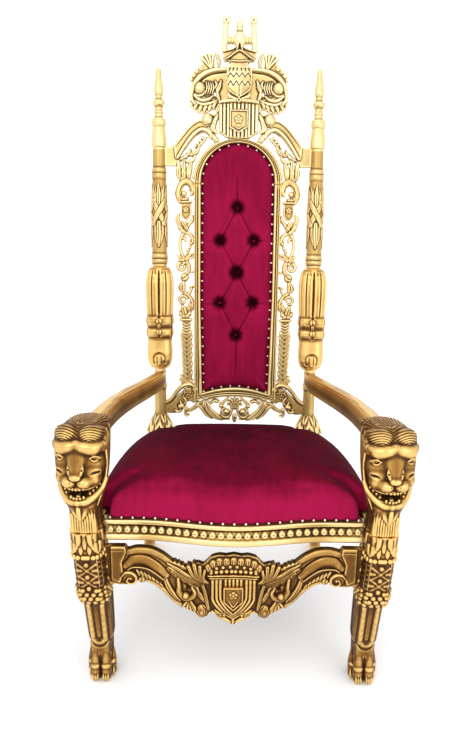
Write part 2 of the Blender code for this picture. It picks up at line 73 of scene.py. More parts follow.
def spline(points, count=24):
    """Catmull-Rom curve through rows of numbers: places, and any widths that follow them."""
    rows = np.asarray(points, float)
    if len(rows) == 2:
        t = np.linspace(0.0, 1.0, count)[:, None]
        return rows[0] * (1 - t) + rows[1] * t
    padded = np.vstack([2 * rows[0] - rows[1], rows, 2 * rows[-1] - rows[-2]])
    spans = len(rows) - 1
    where = np.linspace(0.0, spans - 1e-9, count)
    i = where.astype(int)
    t = (where - i)[:, None]
    a, b, c, d = padded[i], padded[i + 1], padded[i + 2], padded[i + 3]
    return 0.5 * (2 * b + (c - a) * t + (2 * a - 5 * b + 4 * c - d) * t**2 + (3 * b - a - 3 * c + d) * t**3)


def spiral(centre, radius, turns, start, shrink=0.85, count=30):
    """A volute running inwards: rows of (x, z). Negative turns run clockwise."""
    t = np.linspace(0.0, 1.0, count)
    r = radius * (1.0 - shrink * t)
    angle = math.radians(start) + 2 * math.pi * turns * t
    return np.stack([centre[0] + r * np.cos(angle), centre[1] + r * np.sin(angle)], 1)


def nearest(px, pz, line):
    """Distance from grid places to a polyline, how far along it (0-1), and on which side."""
    best = np.full(px.shape, FAR)
    along = np.zeros(px.shape)
    side = np.zeros(px.shape)
    count = len(line) - 1
    for i in range(count):
        ax, az = line[i, 0], line[i, 1]
        dx, dz = line[i + 1, 0] - ax, line[i + 1, 1] - az
        length = dx * dx + dz * dz + 1e-9
        t = np.clip(((px - ax) * dx + (pz - az) * dz) / length, 0.0, 1.0)
        ex, ez = px - ax - t * dx, pz - az - t * dz
        dist = np.hypot(ex, ez)
        closer = dist < best
        best[closer] = dist[closer]
        along[closer] = ((i + t) / count)[closer]
        side[closer] = np.sign(dx * ez - dz * ex)[closer]
    return best, along, side


# ---- skinning a field ----------------------------------------------------------------------------

CORNERS = np.array([(i, j, k) for i in (0, 1) for j in (0, 1) for k in (0, 1)])
CELL_EDGES = [(a, b) for a in range(8) for b in range(a + 1, 8) if np.abs(CORNERS[a] - CORNERS[b]).sum() == 1]


def skin(field, low, step):
    """Closed quad surface where a 3-D field crosses zero; the field is negative inside."""
    field = field.copy()
    for axis in range(3):
        ends = [slice(None)] * 3
        for end in (0, -1):
            ends[axis] = end
            field[tuple(ends)] = np.maximum(field[tuple(ends)], 0.5)
    inside = field < 0
    nx, ny, nz = field.shape
    corner_count = np.zeros((nx - 1, ny - 1, nz - 1), np.uint8)
    for i, j, k in CORNERS:
        corner_count += inside[i : nx - 1 + i, j : ny - 1 + j, k : nz - 1 + k]
    active = (corner_count > 0) & (corner_count < 8)
    cells = np.argwhere(active)
    index = np.full(active.shape, -1, np.int64)
    index[active] = np.arange(len(cells))
    values = np.stack([field[cells[:, 0] + i, cells[:, 1] + j, cells[:, 2] + k] for i, j, k in CORNERS], 1)
    total = np.zeros((len(cells), 3))
    hits = np.zeros(len(cells))
    for a, b in CELL_EDGES:
        va, vb = values[:, a], values[:, b]
        cross = (va < 0) != (vb < 0)
        t = va[cross] / (va[cross] - vb[cross])
        total[cross] += CORNERS[a] + t[:, None] * (CORNERS[b] - CORNERS[a])
        hits[cross] += 1
    points = np.asarray(low) + np.asarray(step) * (cells + total / hits[:, None])
    quads = []
    for axis in range(3):
        u, v = (axis + 1) % 3, (axis + 2) % 3
        near = np.moveaxis(inside, (axis, u, v), (0, 1, 2))
        grid = np.moveaxis(index, (axis, u, v), (0, 1, 2))
        here, there = near[:-1, 1:-1, 1:-1], near[1:, 1:-1, 1:-1]
        for rising in (False, True):
            at = np.argwhere((here != there) & (here == rising))
            a, b, c = at[:, 0], at[:, 1], at[:, 2]
            loop = [grid[a, b, c], grid[a, b + 1, c], grid[a, b + 1, c + 1], grid[a, b, c + 1]]
            if not rising:
                loop.reverse()
            quads.append(np.stack(loop, 1))
    return points, np.vstack(quads)


def quad_edges(faces):
    size = faces.shape[1]
    edges = np.vstack([faces[:, [i, (i + 1) % size]] for i in range(size)])
    edges.sort(axis=1)
    return np.unique(edges, axis=0)


def relax(points, edges, rounds, share=1.0):
    """Move every point towards the average of its neighbours."""
    count = len(points)
    both = np.vstack([edges, edges[:, ::-1]])
    degree = np.maximum(np.bincount(both[:, 0], minlength=count), 1)[:, None]
    out = points.copy()
    for _ in range(rounds):
        mean = np.stack([np.bincount(both[:, 0], out[both[:, 1], k], count) for k in range(3)], 1) / degree
        out += share * (mean - out)
    return out


def point_normals(points, faces):
    span_a = points[faces[:, 2]] - points[faces[:, 0]]
    span_b = points[faces[:, -1]] - points[faces[:, 1]]
    normal = np.cross(span_a, span_b)
    out = np.zeros_like(points)
    for k in range(3):
        for column in range(faces.shape[1]):
            out[:, k] += np.bincount(faces[:, column], normal[:, k], len(points))
    return out / np.maximum(np.linalg.norm(out, axis=1), 1e-9)[:, None]


def wear_of(points, faces, gain=1.0):
    """How proud each point stands of its surroundings: 0 in a recess, 0.5 on flats, 1 on a ridge.

    Ridges are rubbed wear, the dark in recesses is partly patina and partly painted shade,
    and faces turned down get painted shade.
    """
    edges = quad_edges(faces)
    normal = point_normals(points, faces)
    fine = relax(points, edges, 4)
    broad = relax(fine, edges, 14)
    proud = ((points - fine) * normal).sum(1) * 0.75 + ((points - broad) * normal).sum(1) * 0.40
    # The last term is painted shade on faces turned downwards.
    return np.clip(0.5 + gain * np.tanh(proud) - 0.12 * np.clip(-normal[:, 2], 0, 1), 0.0, 1.0)


def leaned(points):
    """Upright back coordinates (x, y, world height on the plane) to world, in millimetres."""
    x, y, z = points[:, 0], points[:, 1], (points[:, 2] - LEAN_Z) / math.cos(LEAN)
    c, s = math.cos(LEAN), math.sin(LEAN)
    return np.stack([x, LEAN_Y + y * c + z * s, LEAN_Z - y * s + z * c], 1)


def painted_facing_light(points, faces, towards, low, high):
    """Painted light on the pile: light where the surface faces towards one direction, deep where it faces
    away.
    """
    turned = point_normals(points, outward(points, faces)) @ (np.asarray(towards) / np.linalg.norm(towards))
    return low + (high - low) * smoothstep(turned, -0.1, 1.0)


def flipped(points, faces):
    """Mirror in X, keeping the faces outwards."""
    return points * np.array([-1.0, 1.0, 1.0]), faces[:, ::-1]


def outward(points, faces):
    """Turn the faces of a closed shell outwards."""
    a, b, c, d = (points[faces[:, k]] for k in (0, 1, 2, -1))
    volume = (np.cross(b - a, c - a) * a).sum() + (np.cross(c - a, d - a) * a).sum()
    return faces if volume > 0 else faces[:, ::-1]


def make_piece(name, points, faces, look, nodes, slot, smooth=True, wear=1.0, painted_light=None, shade=None):
    """One visible piece from arrays in millimetres, riding on the chair and standing for CAD nodes.

    shade(points, normals) adds painted light and shade to the wear values by place.
    """
    faces = outward(points, faces)
    mesh = bpy.data.meshes.new(name)
    count, size = faces.shape
    mesh.vertices.add(len(points))
    mesh.vertices.foreach_set("co", (points * MM).astype(np.float32).ravel())
    mesh.loops.add(count * size)
    mesh.loops.foreach_set("vertex_index", faces.astype(np.int32).ravel())
    mesh.polygons.add(count)
    mesh.polygons.foreach_set("loop_start", np.arange(0, count * size, size, dtype=np.int32))
    mesh.update(calc_edges=True)
    mesh.validate()
    if smooth:
        mesh.shade_smooth()
    if wear:
        # This attribute holds rubbed wear and patina together with painted light and shade; on the velvet it
        # holds only painted light and shade.
        layer = mesh.attributes.new("wear", "FLOAT", "POINT")
        values = wear_of(points, faces, wear) if painted_light is None else painted_light
        if shade:
            values = np.clip(values + shade(points, point_normals(points, faces)), 0.0, 1.0)
        layer.data.foreach_set("value", values.astype(np.float32))
    piece = bpy.data.objects.new(name, mesh)
    bpy.context.scene.collection.objects.link(piece)
    piece.data.materials.append(look)
    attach(piece, "root")
    if nodes:
        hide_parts(*nodes)
    return piece


def evenly(amount):
    """A shade that shifts the wear by the same amount everywhere."""

    def shade(points, normals):
        return amount

    return shade


def make_pair(name, points, faces, look, nodes, slot, **options):
    """A right-hand piece and its mirror image on the left."""
    make_piece(name + "_r", points, faces, look, [n + "_r" for n in nodes], slot, **options)
    made = flipped(points, faces)
    make_piece(name + "_l", made[0], made[1], look, [n + "_l" for n in nodes], slot, **options)


def sheet_faces(rows, columns, wrap=False):
    """Quads of a grid of points laid out row by row; wrap joins the last column to the first."""
    i, j = np.meshgrid(np.arange(rows - 1), np.arange(columns if wrap else columns - 1), indexing="ij")
    k = (j + 1) % columns
    return np.stack([i * columns + j, i * columns + k, (i + 1) * columns + k, (i + 1) * columns + j],
                    -1).reshape(-1, 4)


def capped(points, rows, columns):
    """Close a wrapped grid at both ends with centre fans, given as quads that repeat the centre."""
    grid = points.reshape(rows, columns, 3)
    centres = np.stack([grid[0].mean(0), grid[-1].mean(0)])
    faces = [sheet_faces(rows, columns, wrap=True)]
    j = np.arange(0, columns, 2)
    first, last = rows * columns, rows * columns + 1
    ones = np.ones_like(j)
    top = (rows - 1) * columns
    faces.append(np.stack([ones * first, (j + 2) % columns, (j + 1) % columns, j], 1))
    faces.append(np.stack([ones * last, top + j, top + (j + 1) % columns, top + (j + 2) % columns], 1))
    return np.vstack([points, centres]), np.vstack(faces)


def merged(*shells):
    """Several shells as one list of points and faces."""
    points, faces, count = [], [], 0
    for shell_points, shell_faces in shells:
        points.append(shell_points)
        faces.append(shell_faces + count)
        count += len(shell_points)
    return np.vstack(points), np.vstack(faces)


def softened(rows, step, rounds=2, closed=False):
    """Even steps along a polyline, with its corners eased."""
    rows = np.asarray(rows, float)
    if closed:
        rows = np.vstack([rows, rows[:1]])
    length = np.concatenate([[0.0], np.cumsum(np.linalg.norm(np.diff(rows, axis=0), axis=1))])
    count = 2 * max(3, int(round(length[-1] / step / 2)))
    at = np.linspace(0.0, length[-1], count + 1)
    line = np.stack([np.interp(at, length, rows[:, k]) for k in range(rows.shape[1])], 1)
    if closed:
        line = line[:-1]
    for _ in range(rounds):
        eased = 0.25 * np.roll(line, 1, 0) + 0.5 * line + 0.25 * np.roll(line, -1, 0)
        if not closed:
            eased[[0, -1]] = line[[0, -1]]
        line = eased
    return line


def lathe(rows, centre=(0.0, 0.0), columns=72, carving=None, squash=1.0, step=1.2, lobes=None):
    """Turned body: rows of (radius, z) upwards. A carving adds its height, lobes scale the radius."""
    line = softened(rows, step)
    angle = 2 * math.pi * np.arange(columns) / columns - math.pi
    radius = np.repeat(line[:, :1], columns, axis=1)
    z = np.repeat(line[:, 1:], columns, axis=1)
    turn = np.repeat(angle[None, :], len(line), axis=0)
    if lobes is not None:
        radius = radius * lobes(turn, z)
    if carving is not None:
        radius = radius + carving(turn, z)
    x = centre[0] + radius * np.sin(turn)
    y = centre[1] - radius * np.cos(turn) * squash
    return capped(np.stack([x, y, z], -1).reshape(-1, 3), len(line), columns)


def spindle(start, end, rows, columns=28, step=1.0):
    """A turned body on a slanting axis: rows of (radius, share of the way along)."""
    start, end = np.asarray(start, float), np.asarray(end, float)
    span = np.linalg.norm(end - start)
    points, faces = lathe([(r, t * span) for r, t in rows], columns=columns, step=step)
    turn = Vector((0, 0, 1)).rotation_difference(Vector(end - start)).to_matrix()
    return points @ np.array(turn).T + start, faces


def sweep(inner, outer, profile):
    """A moulding between two upright edges: profile rows are (share from inner to outer, y)."""
    share, y = profile[:, 0], profile[:, 1]
    grid = inner[:, None, :] * (1 - share)[None, :, None] + outer[:, None, :] * share[None, :, None]
    deep = np.broadcast_to(y, grid.shape[:2])
    points = np.stack([grid[..., 0], deep, grid[..., 1]], -1).reshape(-1, 3)
    return capped(points, len(inner), len(profile))


def sweep_level(path, profile):
    """A level moulding along (x, y): profile rows are (distance out to the right, z)."""
    along = np.gradient(path, axis=0)
    along /= np.linalg.norm(along, axis=1)[:, None]
    out = np.stack([along[:, 1], -along[:, 0]], 1)
    places = path[:, None, :] + out[:, None, :] * profile[None, :, :1]
    z = np.broadcast_to(profile[:, 1], places.shape[:2])
    points = np.concatenate([places, z[..., None]], -1).reshape(-1, 3)
    return capped(points, len(path), len(profile))


def studs(places, profile, columns=14):
    """Copies of a small turned head at rows of (x, y, z, turn): profile rows are (radius, forwards)."""
    profile = np.asarray(profile, float)
    angle = 2 * math.pi * np.arange(columns) / columns
    radius, height = profile[:, :1], np.repeat(profile[:, 1:], columns, axis=1)
    unit = np.stack([radius * np.cos(angle), -height, radius * np.sin(angle)], -1).reshape(-1, 3)
    unit, faces = capped(unit, len(profile), columns)
    shells = []
    for x, y, z, turn in places:
        c, s = math.cos(turn), math.sin(turn)
        spun = unit @ np.array([[c, s, 0.0], [-s, c, 0.0], [0.0, 0.0, 1.0]])
        shells.append((spun + np.array([x, y, z]), faces))
    return merged(*shells)


# ---- relief carving ------------------------------------------------------------------------------


class Relief:
    """A carved board: a silhouette and a front height over an (x, z) grid, in millimetres."""

    def __init__(self, low, high, step=1.0, ground=-6.0):
        self.step = step
        self.x = np.arange(low[0], high[0] + step, step)
        self.z = np.arange(low[1], high[1] + step, step)
        self.gx, self.gz = np.meshgrid(self.x, self.z, indexing="ij")
        self.edge = np.full(self.gx.shape, 50.0)
        self.height = np.full(self.gx.shape, ground)
        self.fat = 1.0

    def window(self, places, margin):
        lo = places[:, :2].min(0) - margin
        hi = places[:, :2].max(0) + margin
        i0, i1 = np.searchsorted(self.x, [lo[0], hi[0]])
        j0, j1 = np.searchsorted(self.z, [lo[1], hi[1]])
        return slice(i0, max(i1, i0 + 1)), slice(j0, max(j1, j0 + 1))

    def raise_to(self, part, dist, surface, solid=True):
        """Add a feature: dist is negative inside it, surface is its height there."""
        self.height[part] = np.where(dist < 0.6, np.maximum(self.height[part], surface), self.height[part])
        if solid:
            self.edge[part] = np.minimum(self.edge[part], dist)

    def dome(self, x, z, radius, top, base=0.0, squash=1.0, hollow=0.0):
        """A bead or boss; hollow sinks a small dimple in its middle."""
        place = np.array([[x, z]])
        part = self.window(place, radius * max(1.0, squash) + 3)
        r = np.hypot(self.gx[part] - x, (self.gz[part] - z) / squash) / radius
        dome = np.sqrt(np.clip(1 - r * r, 0, 1))
        surface = base + (top - base) * dome - hollow * np.exp(-((r / 0.35) ** 2))
        self.raise_to(part, (r - 1) * radius, surface)

    def stroke(self, path, widths, top, base=0.0, power=0.5, vein=0.0, lobes=0, lobe=0.3, ribs=0, rib=0.0,
               tilt=0.0):
        """A rounded band along a path: widths are half widths along it.

        lobes cuts its edge into leaf lobes, ribs groove it across, vein grooves its middle.
        """
        line = spline(path, max(12, 6 * len(path)))
        widths = np.asarray(widths, float) * self.fat
        wide = float(np.max(widths))
        part = self.window(line, wide * (1 + lobe) + 3)
        dist, along, side = nearest(self.gx[part], self.gz[part], line)
        half = np.interp(along, np.linspace(0, 1, len(widths)), widths)
        if lobes:
            half = half * (1 - lobe + lobe * 1.6
                           * np.abs(np.sin(math.pi * (lobes * along - 0.25 * dist / wide))))
        r = dist / np.maximum(half, 0.3)
        peak = np.interp(along, [0, 0.12, 0.85, 1], [0.75, 1, 1, 0.8]) * (top - base)
        surface = base + peak * np.clip(1 - r * r, 0, 1) ** power
        surface += tilt * side * r
        if vein:
            surface -= vein * np.exp(-((dist / max(0.16 * wide, 0.9)) ** 2))
        if ribs:
            wave = np.cos(2 * math.pi * (ribs * along - 0.35 * dist / wide))
            surface -= rib * (0.5 + 0.5 * wave) * smoothstep(r, 0.1, 0.5)
        self.raise_to(part, dist - half, surface)

    def groove(self, path, width, depth, count=None):
        """Cut a round-bottomed line."""
        line = spline(path, count or max(10, 5 * len(path)))
        part = self.window(line, width * 2.5)
        dist, along, _ = nearest(self.gx[part], self.gz[part], line)
        fade = np.interp(along, [0, 0.1, 0.9, 1], [0.4, 1, 1, 0.4])
        self.height[part] -= depth * fade * np.exp(-((dist / width) ** 2))

    def polygon(self, outline, top, edge_round=2.0, base=None):
        """A flat raised field with rounded edges."""
        line = np.asarray(list(outline) + [outline[0]], float)
        part = self.window(line, 4.0)
        px, pz = self.gx[part], self.gz[part]
        dist = nearest(px, pz, line)[0]
        inside = np.zeros(px.shape, bool)
        for (x0, z0), (x1, z1) in zip(line, line[1:]):
            crosses = (z0 > pz) != (z1 > pz)
            reach = x0 + (pz - z0) * (x1 - x0) / ((z1 - z0) or 1e-9)
            inside ^= crosses & (px < reach)
        dist = np.where(inside, -dist, dist)
        drop = np.clip(1 + dist / edge_round, 0, 1)
        low = top - edge_round if base is None else base
        self.raise_to(part, dist, top - (top - low) * (1 - np.sqrt(np.clip(1 - drop * drop, 0, 1))))

    def hole(self, x, z, radius, squash=1.0):
        """Pierce the board right through, with a softened rim."""
        part = self.window(np.array([[x, z]]), radius * max(1.0, squash) + 6)
        dist = (np.hypot(self.gx[part] - x, (self.gz[part] - z) / squash) - radius)
        self.edge[part] = np.maximum(self.edge[part], -dist)
        self.height[part] -= 2.0 * np.exp(-np.clip(dist, 0, None) / 1.5)

    def sample(self, x, z):
        """The carved height at any places."""
        i = np.clip((x - self.x[0]) / self.step, 0, len(self.x) - 1.001)
        j = np.clip((z - self.z[0]) / self.step, 0, len(self.z) - 1.001)
        a, b = i.astype(int), j.astype(int)
        s, t = i - a, j - b
        h = self.height
        low = h[a, b] * (1 - s) + h[a + 1, b] * s
        high = h[a, b + 1] * (1 - s) + h[a + 1, b + 1] * s
        return low * (1 - t) + high * t

    def mesh(self, back, mirror=False, depth_step=1.6):
        """Skin the board between its carved front and a flat back at y = back."""
        edge, height, xs = self.edge, self.height, self.x
        if mirror:
            edge = np.concatenate([edge[:0:-1], edge])
            height = np.concatenate([height[:0:-1], height])
            xs = np.concatenate([-xs[:0:-1], xs])
        front = float(height[edge < 0].max()) + 2 * depth_step
        ys = np.arange(-front, back + 2 * depth_step, depth_step)
        level = ys[None, :, None]
        field = np.maximum(-level - height[:, None, :], level - back)
        field = np.maximum(field, edge[:, None, :])
        return skin(field, (xs[0], ys[0], self.z[0]), (self.step, depth_step, self.step))


# ---- carving in the round ------------------------------------------------------------------------


class Sculpt:
    """A solid field in millimetres that shapes are blended into and cut out of."""

    def __init__(self, low, high, step=1.6):
        self.step = step
        self.low = np.array(low, float)
        self.axes = [np.arange(low[k], high[k] + step, step) for k in range(3)]
        self.field = np.full([len(axis) for axis in self.axes], 60.0)

    def window(self, low, high):
        part = []
        for k in range(3):
            a, b = np.searchsorted(self.axes[k], [low[k], high[k]])
            part.append(slice(a, max(b, a + 1)))
        grids = np.meshgrid(*[self.axes[k][part[k]] for k in range(3)], indexing="ij", sparse=True)
        return tuple(part), grids

    def blend(self, part, dist, soft):
        """Smooth union."""
        own = self.field[part]
        if soft <= 0:
            self.field[part] = np.minimum(own, dist)
            return
        mix = np.clip(0.5 + 0.5 * (own - dist) / soft, 0, 1)
        self.field[part] = own * (1 - mix) + dist * mix - soft * mix * (1 - mix)

    def cut(self, part, dist, soft):
        """Smooth subtraction."""
        own = self.field[part]
        soft = max(soft, 0.01)
        mix = np.clip(0.5 - 0.5 * (own + dist) / soft, 0, 1)
        self.field[part] = own * (1 - mix) - dist * mix + soft * mix * (1 - mix)

    def ball(self, centre, radii, soft=4.0, cut=False):
        radii = np.asarray(radii, float) * np.ones(3)
        reach = radii + soft + 3
        part, (x, y, z) = self.window(np.asarray(centre) - reach, np.asarray(centre) + reach)
        r = np.sqrt(((x - centre[0]) / radii[0]) ** 2 + ((y - centre[1]) / radii[1]) ** 2
                    + ((z - centre[2]) / radii[2]) ** 2)
        dist = (r - 1) * radii.min()
        (self.cut if cut else self.blend)(part, dist, soft)

    def stroke(self, path, soft=2.0, cut=False, count=None, flat=(1.0, 1.0, 1.0)):
        """A tapering round stroke: rows of (x, y, z, radius)."""
        line = spline(path, count or 4 * len(path))
        flat = np.asarray(flat, float)
        reach = line[:, 3].max() / flat.min() + soft + 2
        part, (x, y, z) = self.window(line[:, :3].min(0) - reach, line[:, :3].max(0) + reach)
        best = None
        for a, b in zip(line, line[1:]):
            d = (b - a)[:3] * flat
            length = float(d @ d) + 1e-9
            px, py, pz = (x - a[0]) * flat[0], (y - a[1]) * flat[1], (z - a[2]) * flat[2]
            t = np.clip((px * d[0] + py * d[1] + pz * d[2]) / length, 0, 1)
            dist = np.sqrt((px - t * d[0]) ** 2 + (py - t * d[1]) ** 2 + (pz - t * d[2]) ** 2)
            dist = dist - (a[3] + t * (b[3] - a[3]))
            best = dist if best is None else np.minimum(best, dist)
        (self.cut if cut else self.blend)(part, best, soft)

    def column(self, rows, power=3.0, soft=4.0):
        """An upright rounded block: rows of (x, y, z, half width, half depth), bottom to top."""
        rows = np.asarray(rows, float)
        reach = rows[:, 3:].max() + 6
        low = [rows[:, 0].min() - reach, rows[:, 1].min() - reach, rows[0, 2] - 2]
        high = [rows[:, 0].max() + reach, rows[:, 1].max() + reach, rows[-1, 2] + 2]
        part, (x, y, z) = self.window(low, high)
        smooth = spline(rows, 8 * len(rows))
        cx, cy, a, b = [np.interp(z, smooth[:, 2], smooth[:, k]) for k in (0, 1, 3, 4)]
        r = (np.abs((x - cx) / a) ** power + np.abs((y - cy) / b) ** power) ** (1 / power)
        dist = (r - 1) * np.minimum(a, b)
        dist = np.maximum(dist, np.maximum(rows[0, 2] - z, z - rows[-1, 2]))
        self.blend(part, dist, soft)

    def comb(self, low, high, phase, depth):
        """Cut fine locks: phase(x, y, z) counts the grooves, and depth may vary with place."""
        part, (x, y, z) = self.window(np.asarray(low), np.asarray(high))
        groove = np.abs(np.cos(math.pi * phase(x, y, z))) ** 4
        self.field[part] += groove * (depth(x, y, z) if callable(depth) else depth)

    def trim(self, level, above=False):
        """Cut flat below a level, or above it."""
        z = self.axes[2][None, None, :]
        self.field = np.maximum(self.field, z - level if above else level - z)

    def mesh(self):
        return skin(self.field, self.low, (self.step,) * 3)


# ---- materials -----------------------------------------------------------------------------------


class Nodes:
    """A few shorthands for building one material's node tree."""

    def __init__(self, name):
        self.material = bpy.data.materials.new(name)
        self.material.use_nodes = True
        self.tree = self.material.node_tree
        self.shader = self.tree.nodes["Principled BSDF"]
        self.place = self.add("ShaderNodeTexCoord").outputs["Object"]

    def add(self, kind, **settings):
        node = self.tree.nodes.new(kind)
        for key, value in settings.items():
            setattr(node, key, value)
        return node

    def link(self, source, target):
        self.tree.links.new(source, target)

    def noise(self, scale, detail=4.0, stretch=(1, 1, 1), roughness=0.5):
        mapping = self.add("ShaderNodeMapping")
        mapping.inputs["Scale"].default_value = stretch
        self.link(self.place, mapping.inputs["Vector"])
        noise = self.add("ShaderNodeTexNoise")
        noise.inputs["Scale"].default_value = scale
        noise.inputs["Detail"].default_value = detail
        noise.inputs["Roughness"].default_value = roughness
        self.link(mapping.outputs["Vector"], noise.inputs["Vector"])
        return noise.outputs["Fac"]

    def math(self, operation, a, b=None, clamp=False):
        node = self.add("ShaderNodeMath", operation=operation, use_clamp=clamp)
        for socket, value in zip(node.inputs, (a, b)):
            if value is None:
                continue
            if isinstance(value, (int, float)):
                socket.default_value = value
            else:
                self.link(value, socket)
        return node.outputs[0]

    def span(self, value, low, high, to_low, to_high):
        node = self.add("ShaderNodeMapRange")
        self.link(value, node.inputs["Value"])
        for key, number in (("From Min", low), ("From Max", high), ("To Min", to_low), ("To Max", to_high)):
            node.inputs[key].default_value = number
        return node.outputs["Result"]

    def ramp(self, value, stops):
        node = self.add("ShaderNodeValToRGB")
        ramp = node.color_ramp
        while len(ramp.elements) < len(stops):
            ramp.elements.new(0.5)
        for element, (at, colour) in zip(ramp.elements, stops):
            element.position = at
            element.color = (*colour, 1.0)
        self.link(value, node.inputs["Fac"])
        return node.outputs["Color"]

    def mix(self, factor, a, b, kind="MIX"):
        node = self.add("ShaderNodeMix", data_type="RGBA", blend_type=kind)
        self.link(factor, node.inputs["Factor"])
        for socket, value in ((node.inputs[6], a), (node.inputs[7], b)):
            if isinstance(value, tuple):
                socket.default_value = (*value, 1.0)
            else:
                self.link(value, socket)
        return node.outputs[2]

    def bump(self, height, strength, distance):
        node = self.add("ShaderNodeBump")
        node.inputs["Strength"].default_value = strength
        node.inputs["Distance"].default_value = distance
        self.link(height, node.inputs["Height"])
        self.link(node.outputs["Normal"], self.shader.inputs["Normal"])

    def finish(self, sockets):
        for key, value in sockets.items():
            if isinstance(value, (int, float)):
                self.shader.inputs[key].default_value = value
            elif isinstance(value, tuple):
                self.shader.inputs[key].default_value = (*value, 1.0)
            else:
                self.link(value, self.shader.inputs[key])
        return self.material


def gilding(name, recess, shadow, middle, bright, metal=0.9, rough=0.30):
    """Antique gilding: dark patina and painted shade in the recesses, gold rubbed bright on the high points,
    and the painted light and shade that each piece adds.
    """
    n = Nodes(name)
    wear = n.add("ShaderNodeAttribute", attribute_name="wear").outputs["Fac"]
    patchy = n.noise(16.0, 5.0)
    speckle = n.noise(240.0, 3.0)
    level = n.math("ADD", wear, n.math("MULTIPLY", n.math("SUBTRACT", patchy, 0.5), 0.34))
    level = n.math("ADD", level, n.math("MULTIPLY", n.math("SUBTRACT", speckle, 0.5), 0.12), clamp=True)
    colour = n.ramp(level, [(0.08, recess), (0.30, shadow), (0.52, middle), (0.86, bright)])
    grain = n.noise(60.0, 5.0, stretch=(5.0, 5.0, 1.0))
    rough_map = n.math("ADD", n.span(level, 0.15, 0.75, rough + 0.26, rough),
                       n.span(patchy, 0.3, 0.7, -0.05, 0.08))
    n.bump(n.math("ADD", n.math("MULTIPLY", grain, 0.6), speckle), 0.20, 0.0005)
    metallic = n.span(level, 0.10, 0.40, 0.60, metal)
    return n.finish({"Base Color": colour, "Roughness": rough_map, "Metallic": metallic})


def velvet(name, deep, middle, light, sheen=0.3):
    """Short pile: painted light read from the wear attribute, lighter where the surface faces the front, with
    brushed patches, fine fibres and a soft sheen.
    """
    n = Nodes(name)
    brushed = n.noise(6.0, 3.0, stretch=(1.3, 1.0, 0.7))
    streak = n.noise(26.0, 4.0, stretch=(2.4, 0.8, 0.5))
    fibre = n.noise(1500.0, 2.0)
    painted_light = n.add("ShaderNodeAttribute", attribute_name="wear").outputs["Fac"]
    pile_and_painted_light = n.math("ADD", n.math("MULTIPLY", n.math("SUBTRACT", brushed, 0.5), 0.45), painted_light)
    pile_and_painted_light = n.math("ADD", pile_and_painted_light, n.math("MULTIPLY", n.math("SUBTRACT", streak, 0.5), 0.40), clamp=True)
    # The ramp turns the painted light into deep, middle and light crimson.
    colour = n.ramp(pile_and_painted_light, [(0.08, deep), (0.48, middle), (0.88, light)])
    colour = n.mix(n.span(fibre, 0.35, 0.65, 0.0, 0.30), colour, deep)
    n.bump(n.math("ADD", fibre, n.math("MULTIPLY", streak, 2.0)), 0.25, 0.0005)
    rough = n.span(streak, 0.3, 0.7, 0.78, 0.95)
    made = n.finish({"Base Color": colour, "Roughness": rough, "Metallic": 0.0})
    n.shader.inputs["Sheen Weight"].default_value = sheen
    n.shader.inputs["Sheen Roughness"].default_value = 0.4
    n.shader.inputs["Sheen Tint"].default_value = (0.90, 0.10, 0.24, 1.0)
    n.shader.inputs["Specular IOR Level"].default_value = 0.04
    return made


def plain_metal(name, colour, rough):
    """Small polished nail heads with a little tarnish."""
    n = Nodes(name)
    tarnish = n.noise(300.0, 3.0)
    tint = n.ramp(tarnish, [(0.30, tuple(0.45 * c for c in colour)), (0.60, colour)])
    n.bump(tarnish, 0.15, 0.0002)
    return n.finish({"Base Color": tint, "Roughness": n.span(tarnish, 0.3, 0.7, rough + 0.15, rough),
                     "Metallic": 1.0})


def raw_wood(name, dark, light):
    """Unfinished hardwood or plywood with long grain."""
    n = Nodes(name)
    rings = n.noise(60.0, 6.0, stretch=(0.25, 4.0, 4.0), roughness=0.6)
    pores = n.noise(500.0, 3.0, stretch=(0.15, 3.0, 3.0))
    colour = n.mix(n.span(pores, 0.45, 0.7, 0.0, 0.5), n.ramp(rings, [(0.30, dark), (0.70, light)]), dark)
    n.bump(n.math("ADD", rings, pores), 0.3, 0.0006)
    return n.finish({"Base Color": colour, "Roughness": n.span(rings, 0.3, 0.7, 0.75, 0.6), "Metallic": 0.0})


def lining_cloth(name, colour):
    """Thin black non-woven lining with pressed fibres."""
    n = Nodes(name)
    fibres = n.noise(420.0, 5.0, stretch=(1.0, 2.5, 1.0), roughness=0.7)
    tint = n.ramp(fibres, [(0.35, tuple(0.5 * c for c in colour)), (0.65, tuple(2.2 * c for c in colour))])
    n.bump(fibres, 0.5, 0.0005)
    return n.finish({"Base Color": tint, "Roughness": n.span(fibres, 0.3, 0.7, 0.98, 0.85), "Metallic": 0.0})


# The three gildings are the gilt's own tones and also painted light falling off downwards: the pale crest
# gilding holds painted light, the aged gilding on the lower parts painted shade.
PALE_LIT = gilding("pale_lit_gilding", (0.085, 0.042, 0.012), (0.33, 0.20, 0.065), (0.60, 0.45, 0.19),
               (0.80, 0.70, 0.42))
BRIGHT = gilding("bright_gilding", (0.060, 0.026, 0.007), (0.27, 0.145, 0.036), (0.52, 0.34, 0.11),
                 (0.80, 0.62, 0.30))
AGED_SHADED = gilding("aged_shaded_gilding", (0.050, 0.018, 0.004), (0.125, 0.050, 0.010), (0.30, 0.150, 0.034),
               (0.78, 0.52, 0.18),
               rough=0.31)
VELVET = velvet("crimson_velvet", (0.032, 0.0005, 0.004), (0.155, 0.0022, 0.019), (0.34, 0.007, 0.056),
                sheen=0.05)
NAIL = plain_metal("nail_metal", (0.86, 0.80, 0.70), 0.22)
WOOD = raw_wood("bare_wood", (0.26, 0.15, 0.07), (0.55, 0.38, 0.21))
LINING = lining_cloth("black_lining", (0.018, 0.018, 0.018))


# ---- seat frame ----------------------------------------------------------------------------------


